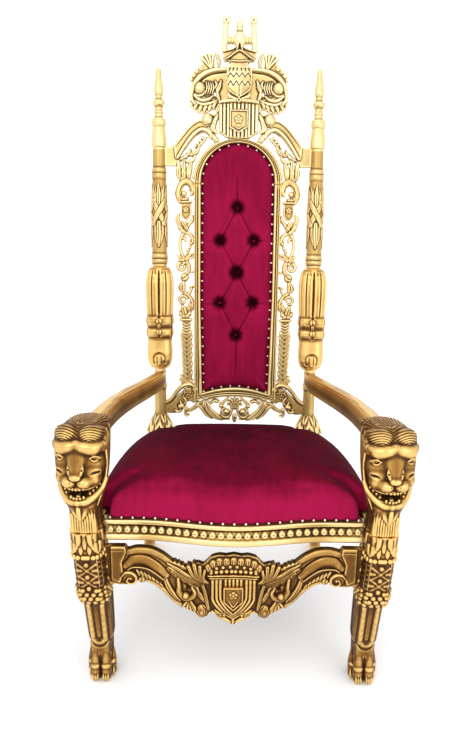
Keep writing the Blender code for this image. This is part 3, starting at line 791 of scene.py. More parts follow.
def front_line(x):
    """The bowed front edge of the seat: its y at each x."""
    reach = np.minimum(1.0, np.abs(x) / 250.0)
    return -330.0 - 15.0 * (1 + np.cos(math.pi * reach))


def side_line(t):
    """The seat side from the front leg (t = 0) to the rear leg (t = 1)."""
    nodes = np.array([(374.0, -280.5), (362.0, -70.0), (352.0, 125.0), (262.0, 214.2)])
    weights = np.stack([(1 - t) ** 3, 3 * t * (1 - t) ** 2, 3 * t * t * (1 - t), t**3], -1)
    return weights @ nodes


RAIL_LOW, RAIL_HIGH = 407.7, 465.8
RAIL_PROFILE = [
    (-30, RAIL_LOW), (-2, RAIL_LOW), (0.5, 408.4), (4.5, 410.5), (6.8, 415), (6.8, 420), (4.5, 425),
    (0.5, 428),
    (-1.5, 429.5), (-1.5, 431), (-5, 432.5), (-6, 436), (-6, 449), (-4, 452), (0.5, 453.5), (2.6, 455),
    (2.8, 463), (1.0, RAIL_HIGH), (-4, RAIL_HIGH), (-30, RAIL_HIGH),
]
BEAD = [
    (0.5, -5.0), (6.4, -4.0), (8.9, 0.0), (9.2, 3.4), (8.4, 6.8), (6.4, 9.3), (4.0, 10.3), (2.4, 9.8),
    (1.6, 8.2),
    (0.6, 7.4),
]
NAIL_HEAD = [(0.5, -2.0), (3.5, -1.6), (3.7, 0.2), (3.4, 1.3), (2.5, 2.3), (1.3, 2.8), (0.4, 3.0)]


def build_seat_frame():
    profile = softened(RAIL_PROFILE, 1.5, 1, closed=True)
    xs = np.linspace(-341.0, 341.0, 90)
    path = np.stack([xs, front_line(xs)], 1)
    points, faces = sweep_level(path, profile)
    make_piece("front_rail_moulding", points, faces, BRIGHT, ["front_rail"], "bright_gilt",
               shade=evenly(DEEPER))
    beads = []
    for x in np.arange(-14.5, 15.0) * 22.2:
        slope = (front_line(x + 1) - front_line(x - 1)) / 2
        beads.append((x, front_line(x) - 2.0, 442.5, math.atan(slope)))
    points, faces = studs(beads, BEAD, 20)
    make_piece("front_rail_beads", points, faces, BRIGHT, ["bead_moulding"], "bright_gilt", wear=0.8)
    path = side_line(np.linspace(0.0, 1.0, 60))
    points, faces = sweep_level(path, profile)
    make_pair("side_rail_moulding", points, faces, AGED_SHADED, ["side_rail"], "aged_gilt")


# ---- seat cushion --------------------------------------------------------------------------------


SEAT_VOXEL = 5.5
SEAT_PRESSURE = 3.2
SEAT_CAP = 5.0
TACK_HEIGHT = 474.0


def seat_edge():
    """The cushion's plan, notched round the legs, as an even closed line."""
    half = 325.5
    front = [(x, front_line(x) + 4.5) for x in np.linspace(-half, half, 25)]
    right = [(half + 1, -268.0)]
    for x, y in side_line(np.linspace(0.02, 1.0, 14)):
        right.append((x - 4.5, min(max(y, -268.0), 205.7)))
    right += [(219.0, 205.7), (219.0, 235.5)]
    outline = front + right + [(0.0, 241.5)] + [(-x, y) for x, y in reversed(right)]
    return softened(outline, 9.0, 1, closed=True)


def seat_start():
    """The filled shape of the seat before it is blown up by the cloth."""
    edge = seat_edge()
    centre = np.array([0.0, -30.0])
    levels = [(0.990, 466.9), (1.000, 470.0), (1.004, 484.0), (1.004, 498.0), (0.998, 512.0), (0.978, 526.0),
              (0.935, 538.0), (0.870, 546.5), (0.770, 553.0), (0.640, 558.0), (0.480, 561.5), (0.300, 563.5),
              (0.140, 564.5), (0.030, 565.0)]
    rows = [np.column_stack([centre + (edge - centre) * share, np.full(len(edge), z)]) for share, z in levels]
    points = np.vstack(rows)
    # The rear corners are hollowed round the leaf cups of the posts.
    cup = np.stack([np.copysign(POST_X, points[:, 0]), np.full(len(points), LEAN_Y)], 1)
    away = points[:, :2] - cup
    reach = np.linalg.norm(away, axis=1)
    grown = np.maximum(reach, 51.0 * smoothstep(points[:, 2], 484.0, 500.0)) / reach
    points[:, :2] = cup + away * grown[:, None]
    return capped(points, len(levels), len(edge))


def inflate(piece, voxel, pressure, cap, keep):
    """Blow the pad up as cloth, then hold every point within cap of where it began; keep pins points."""
    bpy.context.view_layer.objects.active = piece
    remesh = piece.modifiers.new("Even", "REMESH")
    remesh.mode = "VOXEL"
    remesh.voxel_size = voxel * MM
    even = bpy.data.meshes.new_from_object(piece.evaluated_get(bpy.context.evaluated_depsgraph_get()))
    piece.modifiers.remove(remesh)
    piece.data = even
    start = np.empty(len(even.vertices) * 3, np.float32)
    even.vertices.foreach_get("co", start)
    start = start.reshape(-1, 3)
    pinned = piece.vertex_groups.new(name="pinned")
    pinned.add([int(i) for i in np.nonzero(keep(start / MM))[0]], 1.0, "REPLACE")
    cloth = piece.modifiers.new("Cloth", "CLOTH")
    cloth.settings.quality = 5
    cloth.settings.mass = 0.3
    cloth.settings.tension_stiffness = 20
    cloth.settings.compression_stiffness = 20
    cloth.settings.bending_stiffness = 0.6
    cloth.settings.use_pressure = True
    cloth.settings.uniform_pressure_force = pressure
    cloth.settings.effector_weights.gravity = 0.0
    cloth.settings.vertex_group_mass = "pinned"
    cloth.collision_settings.use_collision = False
    cloth.point_cache.frame_start = 1
    cloth.point_cache.frame_end = 20
    for step in range(1, 21):
        bpy.context.scene.frame_set(step)
    blown = piece.evaluated_get(bpy.context.evaluated_depsgraph_get()).data
    end = np.empty(len(blown.vertices) * 3, np.float32)
    blown.vertices.foreach_get("co", end)
    move = end.reshape(-1, 3) - start
    size = np.linalg.norm(move, axis=1, keepdims=True)
    start = start + move * np.minimum(1.0, cap * MM / np.maximum(size, 1e-6))
    piece.modifiers.remove(cloth)
    piece.vertex_groups.clear()
    bpy.context.scene.frame_set(1)
    faces = np.empty(len(even.polygons) * 4, np.int32)
    even.polygons.foreach_get("vertices", faces)
    return start.astype(float) / MM, faces.reshape(-1, 4)


def tacked_down(points):
    """The lowest rows, held by the nails."""
    return points[:, 2] < TACK_HEIGHT


def build_seat_cushion():
    points, faces = seat_start()
    mesh = bpy.data.meshes.new("seat_start")
    mesh.from_pydata((points * MM).tolist(), [], outward(points, faces).tolist())
    mesh.validate()
    start = bpy.data.objects.new("seat_start", mesh)
    bpy.context.scene.collection.objects.link(start)
    points, faces = inflate(start, SEAT_VOXEL, SEAT_PRESSURE, SEAT_CAP, tacked_down)
    bpy.data.objects.remove(start)
    points = relax(points, quad_edges(faces), 3, 0.5)
    # The nailed edge: the velvet is drawn in at every nail along the front.
    x, y, z = points.T
    low = np.exp(-(((z - 470.0) / 11.0) ** 2))
    front = (np.abs(x) < 322) & (y < front_line(x) + 30)
    pulled = 0.5 + 0.5 * np.cos(2 * math.pi * x / NAIL_PITCH)
    points[:, 1] += np.where(front, low * (0.5 + 2.2 * pulled), 0.0)
    # Painted light: the velvet is made lighter towards the front and where it faces the front.
    forward = smoothstep(-points[:, 1], -40.0, 260.0)
    painted_light = 0.12 + 0.14 * forward + 0.62 * painted_facing_light(points, faces, (0.0, -1.0, 0.1), 0.0, 1.0)
    piece = make_piece("seat_cushion_velvet", points, faces, VELVET, ["seat_cushion"], "velvet", painted_light=painted_light)
    smooth = piece.modifiers.new("Smooth", "SUBSURF")
    smooth.levels = 1
    smooth.render_levels = 1


NAIL_PITCH = 29.4


def build_seat_nails():
    places = []
    for x in np.arange(-11, 12) * NAIL_PITCH:
        slope = (front_line(x + 1) - front_line(x - 1)) / 2
        places.append((x, front_line(x) + 2.6, 471.8, math.atan(slope)))
    for t in np.linspace(0.06, 0.96, 17):
        x, y = side_line(t)
        dx, dy = side_line(t + 0.01) - side_line(t - 0.01)
        turn = math.atan2(dx, -dy)
        places.append((x - 4.2, y, 471.8, math.pi / 2 - turn))
        places.append((-x + 4.2, y, 471.8, turn - math.pi / 2))
    points, faces = studs(places, NAIL_HEAD, 12)
    make_piece("seat_nails", points, faces, NAIL, ["seat_nail_strip"], "nail", wear=0)


# ---- arched back frame and pad -------------------------------------------------------------------


def arc(centre_z, radius, start, end, count):
    angle = np.radians(np.linspace(start, end, count))
    return np.stack([radius * np.cos(angle), centre_z + radius * np.sin(angle)], 1)


FRAME_PROFILE = [
    (0.00, 17), (0.00, -13), (0.03, -17), (0.10, -20.5), (0.22, -22.5), (0.34, -21), (0.43, -17),
    (0.46, -13.5),
    (0.50, -12), (0.54, -13.5), (0.56, -16), (0.63, -17), (0.68, -16), (0.70, -13), (0.73, -12),
    (0.77, -14.5),
    (0.84, -17.5), (0.93, -17), (0.99, -14), (1.00, -11), (1.00, 17),
]


def build_back_frame():
    profile = np.asarray(FRAME_PROFILE) * [26.0, 1.0]
    profile = softened(profile, 1.1, 1, closed=True) / [26.0, 1.0]
    z = np.linspace(FRAME_ARCH_Z, PAD_FOOT_Z, 160)
    inner_x = np.interp(z, [PAD_FOOT_Z, 780, 952], [PAD_FOOT_HALF, PAD_HALF - 4, PAD_HALF])
    outer_x = np.interp(z, [PAD_FOOT_Z, FRAME_ARCH_Z], [FRAME_FOOT_HALF, FRAME_HALF])
    outer_z = z - 30.0 * (1 - smoothstep(z, PAD_FOOT_Z, PAD_FOOT_Z + 60))
    points, faces = sweep(np.stack([inner_x, z], 1), np.stack([outer_x, outer_z], 1), profile)
    make_pair("back_stile_moulding", leaned(points), faces, BRIGHT, ["back_stile"], "bright_gilt")
    inner = np.vstack([[(PAD_HALF, FRAME_ARCH_Z)], arc(ARCH_Z, PAD_HALF, 0, 180, 119),
                       [(-PAD_HALF, FRAME_ARCH_Z)]])
    points, faces = sweep(inner, arc(FRAME_ARCH_Z, FRAME_HALF, 0, 180, 121), profile)
    make_piece("back_arch_moulding", leaned(points), faces, BRIGHT, ["back_arch"], "bright_gilt")
    u = np.linspace(-1.0, 1.0, 90)
    rise = PAD_RISE * (1 - u * u)
    inner = np.stack([PAD_FOOT_HALF * u, PAD_FOOT_Z + rise], 1)
    outer = np.stack([FRAME_FOOT_HALF * u, 613.5 + rise], 1)
    points, faces = sweep(inner, outer, profile)
    make_piece("back_rail_moulding", leaned(points), faces, BRIGHT, ["back_lower_rail"], "bright_gilt")


def pad_line(inset, step):
    """The pad's arched outline, inset from the frame, at even steps."""
    half, foot = PAD_HALF - inset, PAD_FOOT_HALF - inset
    u = np.linspace(-1.0, 1.0, 25)
    bottom = np.stack([foot * u, PAD_FOOT_Z + inset + PAD_RISE * (1 - u * u)], 1)
    right = [(half - 4.0, 780.0), (half, 952.0), (half, 1140.0)]
    left = [(-x, z) for x, z in reversed(right)]
    rows = np.vstack([bottom, right, arc(ARCH_Z, half, 0, 180, 60), left])
    return softened(rows, step, 0, closed=True)


BUTTONS = [(0, 1245), (-54, 1142), (54, 1142), (0, 1040), (-54, 943), (54, 943), (0, 837)]
PLEATS = [(0, 1), (0, 2), (1, 3), (2, 3), (3, 4), (3, 5), (4, 6), (5, 6)]


def pad_height(x, z, edge):
    """How far the tufted velvet stands forward; edge is the distance in from the outline."""
    full = 1 - np.exp(-np.clip(edge, 0, None) / 15.0)
    height = 9.0 + 20.0 * full
    ends = [(BUTTONS[a], BUTTONS[b]) for a, b in PLEATS]
    ends += [((-54, 1142), (-110, 1140)), ((54, 1142), (110, 1140)), ((-54, 943), (-110, 940)),
             ((54, 943), (110, 940))]
    ends += [((0, 837), (0, 700)), ((0, 1245), (0, 1335))]
    for start, end in ends:
        line = spline([start, end], 12)
        dist, along, side = nearest(x, z, line)
        weak = 0.75 if end in BUTTONS else 0.75 * (1 - 0.65 * along)
        if end in BUTTONS:
            weak = 0.45 + 0.55 * np.abs(2 * along - 1) ** 1.5
        fold = 3.4 * np.exp(-((dist / 3.4) ** 2)) + 6.5 * np.exp(-((dist / 18.0) ** 2))
        fold += 1.4 * side * np.exp(-((dist / 9.0) ** 2))
        height = height - full * weak * fold
    for bx, bz in BUTTONS:
        dx, dz = x - bx, z - bz
        r = np.hypot(dx, dz)
        turn = np.arctan2(dz, dx)
        height = height - full * (9.0 * np.exp(-((r / 18.0) ** 2)) + 8.0 * np.exp(-((r / 9.5) ** 2)))
        puckers = np.cos(7 * turn + bx) * np.exp(-(((r - 16) / 8.0) ** 2))
        height = height + full * 0.6 * puckers
    return height


def build_back_pad():
    board = Relief((-118, 640), (118, 1446), 2.0)
    outline = pad_line(0.4, 6.0)
    board.polygon([tuple(p) for p in outline], 10.0, 1.0)
    inside = -board.edge
    board.height = pad_height(board.gx, board.gz, inside)
    points, faces = board.mesh(8.0, depth_step=1.8)
    points = relax(points, quad_edges(faces), 2, 0.6)
    # Painted light where the pad faces the front, and painted shade in the folds and round the buttons.
    painted_light = painted_facing_light(points, faces, (0.0, -1.0, 0.1), -0.8, 0.66) + 0.40 * (wear_of(points, faces) - 0.5)
    pad = make_piece("back_pad_velvet", leaned(points), faces, VELVET, ["back_pad"], "velvet", painted_light=painted_light)
    head = [(0.5, -4.0), (8.0, -3.6), (8.8, -0.5), (8.2, 2.2), (6.2, 4.6), (3.4, 5.9), (0.8, 6.2)]
    for number, (x, z) in enumerate(BUTTONS, start=1):
        y = -float(pad_height(np.array([float(x)]), np.array([float(z)]), np.array([50.0]))[0])
        points, faces = studs([(x, y, z, 0.0)], head, 24)
        name = "back_button_%d" % number
        # Painted shade in the hollows of the buttons.
        make_piece(name + "_velvet", leaned(points), faces, VELVET, [name], "velvet", wear=0.5)
    line = pad_line(4.0, 15.2)[::2]
    places = [(x, -14.0, z, 0.0) for x, z in line]
    points, faces = studs(places, NAIL_HEAD, 12)
    make_piece("back_nails", leaned(points), faces, NAIL, ["back_nail_strip"], "nail", wear=0)


# ---- posts ---------------------------------------------------------------------------------------


def at_post(shell):
    """Stand an upright turned shell on the leaning post axis."""
    points, faces = shell
    return leaned(points + np.array([POST_X, 0.0, 0.0])), faces


def leaf_cup(turn, z):
    """Nested pointed leaves round the foot of the post."""
    leaf = (turn * 6 / (2 * math.pi) + 0.5) % 1.0 - 0.5
    up = (z - 504.0) / 64.0
    reach = smoothstep(up, 1.05, 0.85)
    chevron = np.cos(2 * math.pi * (1.5 * up + 1.9 * np.abs(leaf) + 0.1))
    between = np.exp(-(((np.abs(leaf) - 0.5) / 0.06) ** 2)) * smoothstep(up, 0.9, 0.3)
    return reach * (2.3 * chevron - 5.5 * between + 1.5 * np.cos(math.pi * leaf))


def shaft_carving():
    """Buds, crossed ribbons and leaves round the post, four times round."""
    girth = 2 * math.pi * 24.0
    board = Relief((-girth / 2 - 2, 1055), (girth / 2 + 2, 1430), 0.8, ground=0.0)
    for k in range(-3, 4):
        s = k * girth / 4
        board.stroke([(s, 1255), (s, 1285), (s + 1, 1321)], [5.5, 8, 0.6], 3.4, vein=1.6)
        board.stroke([(s - 19, 1246), (s - 15, 1280), (s - 19, 1312)], [3, 5.5, 0.6], 3.0, vein=1.4)
        board.stroke([(s + 8, 1258), (s + 13, 1280), (s + 10, 1305)], [2, 4, 0.5], 2.4)
        board.stroke([(s - 8, 1258), (s - 13, 1280), (s - 10, 1305)], [2, 4, 0.5], 2.4)
        board.stroke([(s, 1196), (s, 1160), (s, 1122)], [6, 8.5, 3.0], 3.2, vein=1.5)
        board.stroke([(s - 13, 1190), (s - 12, 1162), (s - 6, 1130)], [3, 5, 1.0], 2.4, vein=1.0)
        board.stroke([(s + 13, 1190), (s + 12, 1162), (s + 6, 1130)], [3, 5, 1.0], 2.4, vein=1.0)
        board.dome(s, 1123, 3.6, 4.4)
    for k in range(-3, 4):
        s = k * girth / 4
        board.stroke([(s + 20, 1264), (s, 1229), (s - 20, 1194)], [7.5, 8.5, 7.5], 3.6, 1.0, power=0.35)
    for k in range(-3, 4):
        s = k * girth / 4
        board.stroke([(s - 20, 1264), (s, 1229), (s + 20, 1194)], [7.5, 8.5, 7.5], 4.6, 2.0, power=0.35)
        for edge in (-7.0, 7.0):
            board.groove([(s - 20 + edge, 1264 + 0.4 * edge), (s + 20 + edge, 1194 + 0.4 * edge)], 1.0, 1.2)

    def carving(turn, z):
        return board.sample(turn * 24.0, z)

    return carving


def bundle_lobes(turn, z):
    """Square-shouldered section with reeds above the ties, bulges at the ties and a plain block below."""
    square = (np.abs(np.cos(turn)) ** 3.0 + np.abs(np.sin(turn)) ** 3.0) ** (-1 / 3.0)
    to_groove = np.abs((turn * 6 / (2 * math.pi) + 0.5) % 1.0 - 0.5)
    ridge = np.exp(-(((to_groove - 0.5) / 0.05) ** 2))
    reed = 1.0 - 0.20 * np.exp(-((to_groove / 0.075) ** 2)) - 0.05 * ridge
    above = smoothstep(z, 898.0, 912.0) * smoothstep(z, 1056.0, 1030.0)
    ties = smoothstep(z, 826.0, 834.0) * smoothstep(z, 906.0, 898.0)
    tied = 1.0 - 0.07 * np.exp(-((to_groove / 0.10) ** 2))
    share = 1.0 + above * (reed - 1.0) + ties * (tied - 1.0)
    blend = smoothstep(z, 1056.0, 1035.0) * smoothstep(z, 722.0, 745.0)
    return share * (1.0 + blend * (square * 0.955 - 1.0))


def bundle_carving(turn, z):
    """The knot over the ties, the tongue at the top and the ribbed drop in the lower block."""
    x = turn * 36.0
    bump = np.zeros_like(x)
    for zk, half, out in ((883.0, 7.0, 4.0), (866.0, 4.5, 4.5), (848.0, 6.5, 4.0)):
        bump = np.maximum(bump, out * np.sqrt(np.clip(1 - (x / half) ** 2 - ((z - zk) / 11.0) ** 2, 0, 1)))
    taper = np.clip((z - 1012.0) * 0.28, 0.1, 20.0)
    tongue = np.clip(1 - np.abs(x) / taper, 0, 1) * smoothstep(z, 1012, 1020)
    bump += 2.6 * np.sqrt(tongue) * smoothstep(z, 1058.0, 1050.0)
    inside = np.clip(1 - (x / 5.0) ** 2, 0, 1) * smoothstep(z, 736.0, 741.0) * smoothstep(z, 774.0, 768.0)
    arch = np.hypot(x / 17.0, np.clip(758.0 - z, 0, None) / 34.0 + np.clip(z - 758.0, 0, None) / 20.0)
    bump -= 2.2 * np.exp(-(((arch - 1.0) / 0.22) ** 2)) * smoothstep(z, 736.0, 746.0) * (np.abs(x) < 60)
    bump += np.sqrt(inside) * (3.6 + 0.9 * np.cos(2 * math.pi * z / 5.5))
    return bump


POST_FOOT = [
    (40, 503), (44.5, 504), (46, 507), (44, 516), (39.5, 530), (33, 545), (26.5, 556), (21.5, 565),
    (19.6, 572),
    (19.3, 655), (20, 657), (22.6, 659), (23.0, 665), (22.6, 671), (20, 673), (19.3, 675), (19.3, 724),
]
SHAFT = [
    (22, 1059), (23.6, 1060), (24.0, 1068), (26.0, 1072), (27.0, 1077), (26.0, 1082), (25.2, 1084),
    (26.6, 1087),
    (27.2, 1092), (26.2, 1097), (24.0, 1101), (24.2, 1150), (24.0, 1208), (23.2, 1262), (21.8, 1318),
    (21.6, 1330),
    (22.6, 1334), (23.6, 1339), (23.4, 1347), (22.2, 1350), (23.2, 1353), (23.4, 1360), (21.8, 1364),
    (19.9, 1367),
    (19.8, 1400), (19.7, 1426.5),
]
FINIAL = [
    (20, 1427), (22.8, 1428), (24.0, 1432), (24.2, 1442), (23.2, 1462), (21.4, 1480), (19.8, 1487.5),
    (18.6, 1488.5),
    (21.6, 1492), (23.6, 1498), (23.8, 1504), (21.6, 1511), (17.4, 1515.5), (13.8, 1516.5), (13.0, 1524),
    (13.0, 1529), (14.6, 1530.5), (15.4, 1533), (14.4, 1535.5), (12.6, 1537), (11.9, 1547), (13.6, 1550),
    (18.2, 1554), (20.2, 1559.5), (19.0, 1565), (14.0, 1569), (11.6, 1571), (10.9, 1580), (11.4, 1583),
    (14.0, 1588), (15.2, 1596), (14.4, 1606), (11.8, 1620), (9.6, 1634), (8.6, 1648), (8.0, 1656),
    (6.0, 1661.5),
    (2.5, 1663.6), (0.4, 1664),
]
BUNDLE = [
    (17, 722.8), (24, 724), (32, 730), (38.5, 740), (42.5, 756), (43.5, 775), (42, 800), (41, 822), (42, 829),
    (45, 834), (47, 842), (46.4, 852), (43.4, 859), (42.4, 862), (43.6, 866), (46.8, 874), (47.6, 884),
    (46.0, 894), (43.6, 900), (44.0, 906), (45.2, 930), (46.8, 975), (46.2, 1010), (43.4, 1032), (38.0, 1046),
    (30.0, 1055), (22.5, 1059),
]


def bundle_shade(points, normals):
    """The plain block below the ties is made lighter."""
    return 0.22 * smoothstep(points[:, 2], 832.0, 818.0)


def build_posts():
    foot = lathe(POST_FOOT, columns=160, carving=leaf_cup, step=1.3)
    make_pair("post_foot_leaves", *at_post(foot), BRIGHT, ["post_foot"], "bright_gilt")
    shaft = lathe(SHAFT, columns=150, carving=shaft_carving(), step=1.1)
    make_pair("post_shaft_carved", *at_post(shaft), BRIGHT, ["post_shaft"], "bright_gilt",
              shade=evenly(-0.10))
    finial = lathe(FINIAL, columns=56, step=1.1)
    make_pair("finial_turned", *at_post(finial), BRIGHT, ["finial"], "bright_gilt")
    bundle = lathe(BUNDLE, columns=200, carving=bundle_carving, lobes=bundle_lobes, squash=0.86, step=1.4)
    make_pair("post_bundle_reeds", *at_post(bundle), AGED_SHADED, ["post_bundle"], "aged_gilt", shade=bundle_shade)


# ---- crest ---------------------------------------------------------------------------------------


def rosette(board, x, z, size, top):
    """A small generic flower: five petals round a bead."""
    for k in range(5):
        angle = math.radians(90 + 72 * k)
        px, pz = x + 0.55 * size * math.cos(angle), z + 0.55 * size * math.sin(angle)
        board.dome(px, pz, 0.36 * size, top, top - 2.5, hollow=0.5)
    board.dome(x, z, 0.27 * size, top + 1.2, top - 1.5)


def scroll(board, centre, radius, turns, start, half, top, base=0.0, shrink=0.8, ball=0.0):
    """A rolled volute, with an optional ball at its eye."""
    path = spiral(centre, radius, turns, start, shrink, 14)
    board.stroke(path, np.linspace(half, half * 0.6, 6), top, base)
    if ball:
        board.dome(centre[0], centre[1], ball, top + 1.5, base)


def build_crest_mantling():
    board = Relief((0, 1528), (160, 1716), 1.0)
    board.polygon([(0, 1665), (40, 1662), (92, 1655), (128, 1632), (143, 1600), (140, 1568), (100, 1556),
                   (60, 1560), (0, 1545)], 1.5, 1.5, base=0.0)
    # Solid ground behind the fan, the outer bumps and the ragged fringe.
    board.polygon([(74, 1656), (76, 1690), (86, 1704), (102, 1706), (118, 1697), (116, 1680), (128, 1666),
                   (141, 1652),
                   (152, 1636), (146, 1620)], 4.0, 2.0)
    board.polygon([(64, 1572), (70, 1545), (84, 1542), (96, 1535), (110, 1532), (126, 1533), (140, 1541),
                   (152, 1556),
                   (154, 1580), (140, 1588)], 4.0, 2.0)
    # Fluted fan and the curl beside it.
    for tip, half in (((117, 1694), 5.5), (((106, 1702)), 6.0), ((94, 1705), 6.0), ((82, 1700), 5.5)):
        board.stroke([(86, 1660), (0.5 * (86 + tip[0]), 0.5 * (1662 + tip[1])), tip], [3, half * 0.8, half],
                     8.0, 2.0)
    board.stroke([(66, 1662), (63, 1682), (68, 1700), (75, 1712)], [4, 6.5, 6, 3], 10.0, 2.0, vein=2.0)
    for x, z, r in ((120, 1665, 9), (133, 1656, 8), (142, 1644, 8), (149, 1632, 6)):
        board.dome(x, z, r, 7.0, 0.0, hollow=1.5)
    # The big rolled band over the leaf.
    board.stroke([(34, 1661), (70, 1659), (103, 1650), (128, 1633), (145, 1604), (148, 1576), (138, 1560)],
                 [6, 7.5, 8, 8, 7.5, 6.5, 5], 12.5, 3.0, power=0.42)
    board.groove([(38, 1655), (80, 1650), (108, 1638), (129, 1617)], 2.2, 5.0)
    board.dome(124, 1607, 18.5, 15.5, 2.0)
    board.stroke([(106, 1598), (112, 1588), (128, 1583), (141, 1590)], [2, 4, 5, 3], 9.0, 2.0)
    for k in range(4):
        x = 101 - 7 * k
        board.stroke([(x + 3, 1627 - k), (x - 1, 1608), (x + 4, 1589)], [1.5, 3.6, 2], 9.0 - 0.4 * k, 1.5)
    board.stroke([(76, 1628), (70, 1618), (75, 1606)], [2, 4.5, 2], 8.5, 1.5, vein=1.5)
    board.stroke([(80, 1584), (96, 1573), (120, 1571), (143, 1586)], [3, 6, 7, 4], 11.0, 2.0)
    board.stroke([(68, 1571), (90, 1562), (116, 1559), (143, 1571)], [3, 6, 6, 3], 9.0, 1.5)
    board.stroke([(56, 1628), (61, 1612), (67, 1598), (66, 1584), (60, 1570)], [4, 7, 6, 6.5, 3], 9.5, 1.5,
                 lobes=2, vein=1.6)
    # Ragged leaf fringe under the roll.
    for k, (x, z) in enumerate(((149, 1553), (138, 1543), (124, 1536), (109, 1535), (94, 1539), (80, 1546))):
        board.stroke([(x - 8, z + 21), (x - 2, z + 9), (x, z)], [6.5, 6.5, 3.0], 7.5 + k % 2, 0.5, vein=1.4)
    # Curled balls and leaf lobes down beside the cartouche.
    board.stroke([(58, 1560), (66, 1545), (64, 1532)], [8, 7, 4], 7.0, 0.0, vein=1.5)
    board.hole(75, 1590, 3.0, 2.0)
    points, faces = board.mesh(11.0, mirror=True)
    points[:, 1] += 8.0
    make_piece("crest_mantling_carved", leaned(points), faces, PALE_LIT, ["crest_mantling"], "bright_gilt")


def build_crest_shields():
    board = Relief((0, 1570), (42, 1668), 0.9)
    board.polygon([(-40, 1666), (38, 1666), (38, 1616), (30, 1594), (0, 1574), (-40, 1594)], 8.0, 3.0)
    rim = [(37, 1660), (37, 1616), (29, 1595), (0, 1576.5)]
    board.stroke(rim, [2.2] * 4, 10.0, 6.0)
    board.stroke([(0, 1661), (37, 1661)], [2.6, 2.6], 10.0, 6.0)
    for z, swing in ((1640, 6.0), (1616, 7.0)):
        zigzag = [(k * 9.0, z + (swing if k % 2 else -swing)) for k in range(5)]
        for a, b in zip(zigzag, zigzag[1:]):
            board.groove([a, b], 1.4, 3.2, 12)
    board.groove([(0, 1608), (0, 1579)], 1.5, 3.2)
    for x in (5, 17, 28):
        board.groove([(x, 1662), (x + 3, 1652)], 1.8, 3.5)
    board.height += 5.0 * (1 - (board.gx / 42) ** 2)
    points, faces = board.mesh(5.5, mirror=True)
    points[:, 1] -= 9.5
    make_piece("crest_shield_carved", leaned(points), faces, PALE_LIT, ["crest_shield"], "bright_gilt")
    board = Relief((0, 1452), (124, 1592), 1.0)
    board.polygon([(-62, 1560), (62, 1560), (62, 1474), (34, 1457), (-62, 1457)], 10.0, 2.5)
    for x, half in ((56.0, 5.0), (44.5, 4.6)):
        board.stroke([(x, 1556), (x, 1478 - 0.6 * (56 - x))], [half, half], 14.0, 9.0, power=0.4)
    for x in (0.0, 12.0, 24.0):
        board.stroke([(x, 1558), (x, 1544)], [4.2, 4.2], 13.5, 9.0, power=0.4)
        board.stroke([(x, 1482), (x, 1460)], [4.2, 4.2], 13.5, 9.0, power=0.4)
    board.stroke([(33, 1556), (33, 1462)], [3.8, 3.8], 13.5, 9.0, power=0.4)
    # Tied ribbon over the top of the cartouche.
    board.stroke([(2, 1569), (28, 1578), (32, 1586)], [4, 6, 3], 19.0, 11.0, vein=1.5)
    board.stroke([(2, 1567), (30, 1566), (58, 1562)], [5, 6, 5.5], 19.0, 11.0, vein=1.5)
    board.stroke([(0, 1574), (5, 1568), (0, 1561)], [3, 4, 3], 20.5, 11.0)
    # Leaf lobe and ball that curl against the arch.
    board.stroke([(66, 1524), (76, 1504), (80, 1486), (70, 1474)], [6, 9, 11, 5], 11.0, 0.0, vein=1.4)
    board.stroke([(68, 1534), (76, 1526), (88, 1527)], [4, 6, 5], 8.0, 0.0)
    board.dome(98, 1510, 20.0, 17.0, 0.0)
    board.groove([(82, 1520), (84, 1502), (96, 1494)], 1.6, 3.0)
    points, faces = board.mesh(15.0, mirror=True)
    points[:, 1] -= 4.0
    make_piece("crest_cartouche_carved", leaned(points), faces, PALE_LIT, ["crest_cartouche"], "bright_gilt")
    points, faces = small_shield(28.0, 1539.0, 1488.0, 1472.0, 14.0)
    points[:, 1] -= 17.5
    make_piece("crest_badge_carved", leaned(points), faces, PALE_LIT, ["crest_badge"], "bright_gilt")


def small_shield(half, top, shoulder, point, size):
    """A bordered shield with a rosette, as a thin plate."""
    board = Relief((-half - 2, point - 2), (half + 2, top + 2), 0.8)
    edge = [(-half, top), (half, top), (half, shoulder), (0, point), (-half, shoulder)]
    board.polygon(edge, 2.5, 1.5)
    for a, b in zip(edge, edge[1:] + edge[:1]):
        inset = [(x * 0.93, point + 1.5 + (z - point) * 0.95) for x, z in (a, b)]
        board.stroke(inset, [2.2, 2.2], 6.0, 2.0, power=0.4)
    rosette(board, 0.0, 0.45 * top + 0.55 * shoulder, size, 5.5)
    board.stroke([(-12, shoulder + 3), (0, point + 12), (12, shoulder + 3)], [1.6, 2.4, 1.6], 4.6, 2.0)
    return board.mesh(3.5)


